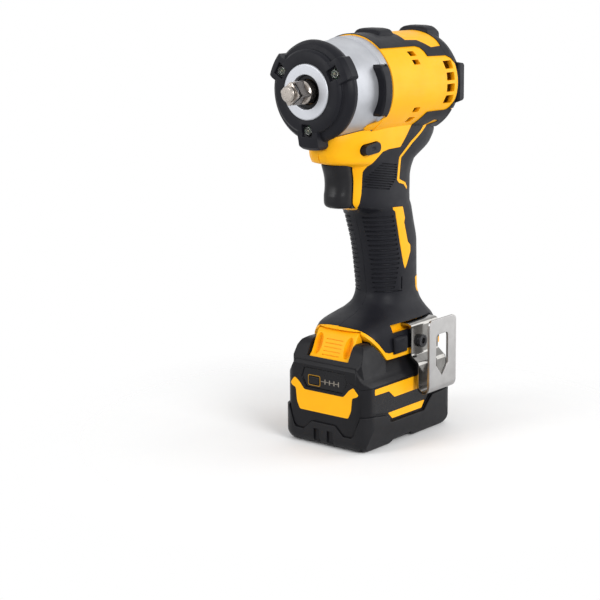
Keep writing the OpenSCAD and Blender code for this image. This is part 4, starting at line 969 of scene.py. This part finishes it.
def make_labels():
    """Bare side labels: a dark sheet with two yellow bands, in their recess on either side."""
    sheet_edge = [(-31.5, 34.8), (-31.5, 21.0), (-20.5, 19.2), (-17.6, 14.9), (12.5, 14.6), (14.4, 17.2),
                  (20, 22.2), (32.7, 22.8), (32.7, 34.8)]
    upper_edge = [(-31, 34.5), (-31, 31.2), (-18.4, 31), (-13.4, 26.8), (32.4, 26.8), (32.4, 34.5)]
    lower_edge = [(-19.2, 19.0), (-15.4, 15.2), (11.8, 15), (14.4, 18.4), (14.2, 19.0)]
    for side, sign in (("left", 1), ("right", -1)):
        at = sign * (BASE_HALF - 0.5)
        sheet = plate("label_" + side, eased(sheet_edge, 0.6, 3), 0, at - sign * 0.1, sign * 0.28)
        dress(shade(round_edges(sheet, 0.05, 1)), PANEL, "gloss_panel", "battery")
        bands = [plate("band", eased(edge, 0.5, 3), 0, at + sign * 0.1, sign * 0.2)
                 for edge in (upper_edge, lower_edge)]
        band = joined(bands, "label_bands_" + side)
        dress(shade(round_edges(band, 0.05, 1)), YELLOW, "housing_yellow", "battery")


def make_gauge():
    """The charge gauge: a button in a thin frame and four level bars on a line."""
    softened("gauge_panel", 0.15, 2)
    softened("gauge_button", 0.5, 3)
    at = CASE_FRONT + 0.45
    bars = [plate("bar", [(-2.6, 36.1), (9.9, 36.1), (9.9, 36.4), (-2.6, 36.4)], 1, at, -0.13)]
    half, foot, top = 0.28, 34.9, 37.6
    for x in (0.4, 3.5, 6.6, 9.7):
        bar_edge = [(x - half, foot), (x + half, foot), (x + half, top), (x - half, top)]
        bars.append(plate("bar", bar_edge, 1, at, -0.15))
    dress(shade(joined(bars, "gauge_bars")), MARK, "gloss_panel", "battery")
    frame_edge = eased([(-11.5, 32.9), (-2.9, 32.9), (-2.9, 39.0), (-11.5, 39.0)], 1.2)
    ring = plate("gauge_frame", frame_edge, 1, at, -0.14)
    hole_edge = eased([(-11, 33.4), (-3.4, 33.4), (-3.4, 38.5), (-11, 38.5)], 0.9)
    cut(ring, plate("gauge_hole", hole_edge, 1, at + 1, -3))
    dress(shade(ring), GAUGE, "gloss_panel", "battery")


def tub(inset):
    """The rounded outer bounds of the battery's lower half."""
    wide, long = BASE_HALF + BOOT_OVER - inset, BOOT_OVER - CASE_FRONT - inset
    body = block((0, 0, 25), (2 * wide, 2 * long, 50))
    turn_corners(body, upright, 8.4, 12)
    turn_corners(body, underneath, 6.0, 12)
    return body


def make_latch():
    """The release latch: a dished front with a finger scoop at either end and fine ribs between."""
    source = frame["nodes"]["battery_latch"].data
    low = min(v.co.z for v in source.vertices) / MM
    back = max(v.co.y for v in source.vertices) / MM
    half = 13.8
    side = [(-36.8, low), (-37, 47.4), (-36.0, 48.6), (-34.3, 50.6), (-32.9, 53), (-31.6, 55.8),
            (-30.2, 58.6), (-28.9, 61), (-27.6, 62.4), (-26.2, 62.8), (back, 62.8), (back, low)]
    latch = plate("battery_latch_finish", side, 0, -half, 2 * half)
    for sign in (-1, 1):
        cut(latch, ball(Vector((sign * 10.4, -33.7, 55.8)) * MM, (3.0, 5.8, 6.6), -30))
    for k in range(5):
        spot = (0, -34.9 + 1.05 * k, 50.0 + 2.0 * k)
        cut(latch, block(spot, (11.6, 1.6, 0.5), (-32, 0, 0)))
    bpy.ops.object.select_all(action="DESELECT")
    bpy.ops.mesh.primitive_cylinder_add(vertices=48, radius=4.4 * MM, depth=5 * MM,
                                        location=Vector((0, -31, low + 1.5)) * MM)
    cut(latch, settle(bpy.context.active_object))
    round_some(latch, lambda x, y, z: abs(x) > 13.6 and z > low + 2, 0.9, 4)
    round_edges(latch, 0.2, 2, SMOOTH)
    dress(shade(latch, SMOOTH), YELLOW, SLOT_OF["battery_latch"], "battery_latch", "battery_latch")


def make_battery():
    """Case, base and boot, then the latch and what sits on the faces."""
    case = taken_from("battery_case", "battery_case_finish")
    round_edges(case, 0.4, 2, 38, False)
    dress(shade(case, SMOOTH), CASE, SLOT_OF["battery_case"], "battery", "battery_case")
    base = taken_from("battery_base", "battery_base_finish")
    cut(base, tub(0.5), "INTERSECT")
    round_edges(base, 0.3, 2)
    dress(shade(base, SMOOTH), CASE, SLOT_OF["battery_base"], "battery", "battery_base")
    boot = taken_from("battery_boot", "battery_boot_finish")
    cut(boot, tub(0.0), "INTERSECT")
    held(round_edges(boot, 0.45, 3, clamp=False), *BOOT_BOX)
    dress(shade(boot, SMOOTH), BOOT, SLOT_OF["battery_boot"], "battery", "battery_boot")
    make_latch()
    make_face()
    make_labels()
    make_gauge()


make_springs()
make_drive()
make_head()
make_handle()
make_hook()
make_battery()


# Studio


def make_floor():
    """A pale disc that takes the shadow and fades into the white round it."""
    bpy.ops.object.select_all(action="DESELECT")
    bpy.ops.mesh.primitive_circle_add(vertices=64, radius=1.6, fill_type="NGON", location=(0, 0, -0.0002))
    floor = settle(bpy.context.active_object)
    floor.name = floor.data.name = "studio_floor"
    mat, tree, skin, where = new_finish("pale_floor")
    paper = noise(tree, where, 40, 2)
    colour = shift_colour(tree, spread(tree, paper.outputs[0], 0, 1), (0.955, 0.955, 0.96), (0.97, 0.97, 0.97))
    tree.links.new(colour, skin.inputs["Base Color"])
    skin.inputs["Roughness"].default_value = 0.9
    skin.inputs["Specular IOR Level"].default_value = 0.1
    away = add(tree, "ShaderNodeVectorMath", _operation="LENGTH", i0=where.outputs["Object"]).outputs["Value"]
    fade = spread(tree, away, 0, 1, 0.05, 0.2)
    clear = add(tree, "ShaderNodeBsdfTransparent")
    blend = add(tree, "ShaderNodeMixShader", i0=fade, i1=skin.outputs[0], i2=clear.outputs[0])
    out = next(n for n in tree.nodes if n.type == "OUTPUT_MATERIAL")
    tree.links.new(blend.outputs[0], out.inputs[0])
    floor.data.materials.append(mat)


def make_world():
    """White all round, at full strength where the camera or a reflection sees it."""
    world = bpy.data.worlds.new("studio_white")
    bpy.context.scene.world = world
    world.use_nodes = True
    tree = world.node_tree
    tree.nodes.clear()
    path = add(tree, "ShaderNodeLightPath")
    direct = add(tree, "ShaderNodeMath", _operation="MAXIMUM", i0=path.outputs["Is Camera Ray"],
                 i1=path.outputs["Is Transmission Ray"])
    seen = add(tree, "ShaderNodeMath", _operation="MAXIMUM", i0=direct.outputs[0],
               i1=path.outputs["Is Glossy Ray"])
    strength = add(tree, "ShaderNodeMapRange", Value=seen.outputs[0], To__Min=0.5, To__Max=1.0)
    sky = add(tree, "ShaderNodeBackground", Color=(1, 1, 1, 1), Strength=strength.outputs[0])
    out = tree.nodes.new("ShaderNodeOutputWorld")
    tree.links.new(sky.outputs[0], out.inputs[0])


def make_light(name, place, aim, size, power):
    """A soft box at a place, aimed at a spot, in metres and watts."""
    lamp = bpy.data.lights.new(name, "AREA")
    lamp.shape = "RECTANGLE"
    lamp.size, lamp.size_y = size
    lamp.energy = power
    obj = bpy.data.objects.new(name, lamp)
    obj.location = place
    obj.rotation_euler = (Vector(aim) - Vector(place)).to_track_quat("-Z", "Y").to_euler()
    bpy.context.scene.collection.objects.link(obj)


def make_camera():
    """The camera solved from the photograph."""
    lens = bpy.data.cameras.new("photo_camera")
    lens.lens = 98.4
    lens.sensor_width = 36
    lens.sensor_fit = "HORIZONTAL"
    lens.shift_x = -0.1133
    lens.shift_y = -0.10
    camera = bpy.data.objects.new("photo_camera", lens)
    camera.location = (0.5426, -0.7105, 0.2696)
    ahead = Vector((-0.598, 0.782, -0.177)).normalized()
    camera.rotation_euler = ahead.to_track_quat("-Z", "Y").to_euler()
    bpy.context.scene.collection.objects.link(camera)
    bpy.context.scene.camera = camera


make_floor()
make_world()
make_light("key_light", place=(1.15, -0.35, 0.62), aim=(0, 0, 0.14), size=(0.6, 0.6), power=11)
make_light("fill_light", place=(-0.5, -1.05, 0.55), aim=(0, 0, 0.12), size=(0.5, 0.8), power=6)
make_light("top_light", place=(-0.1, 0.3, 1.2), aim=(0, 0, 0.1), size=(0.8, 0.8), power=2)
make_light("rim_light", place=(0.78, 0.95, 0.38), aim=(0, 0, 0.17), size=(0.8, 1.1), power=5.5)
make_camera()
bpy.context.scene.view_settings.view_transform = "Standard"
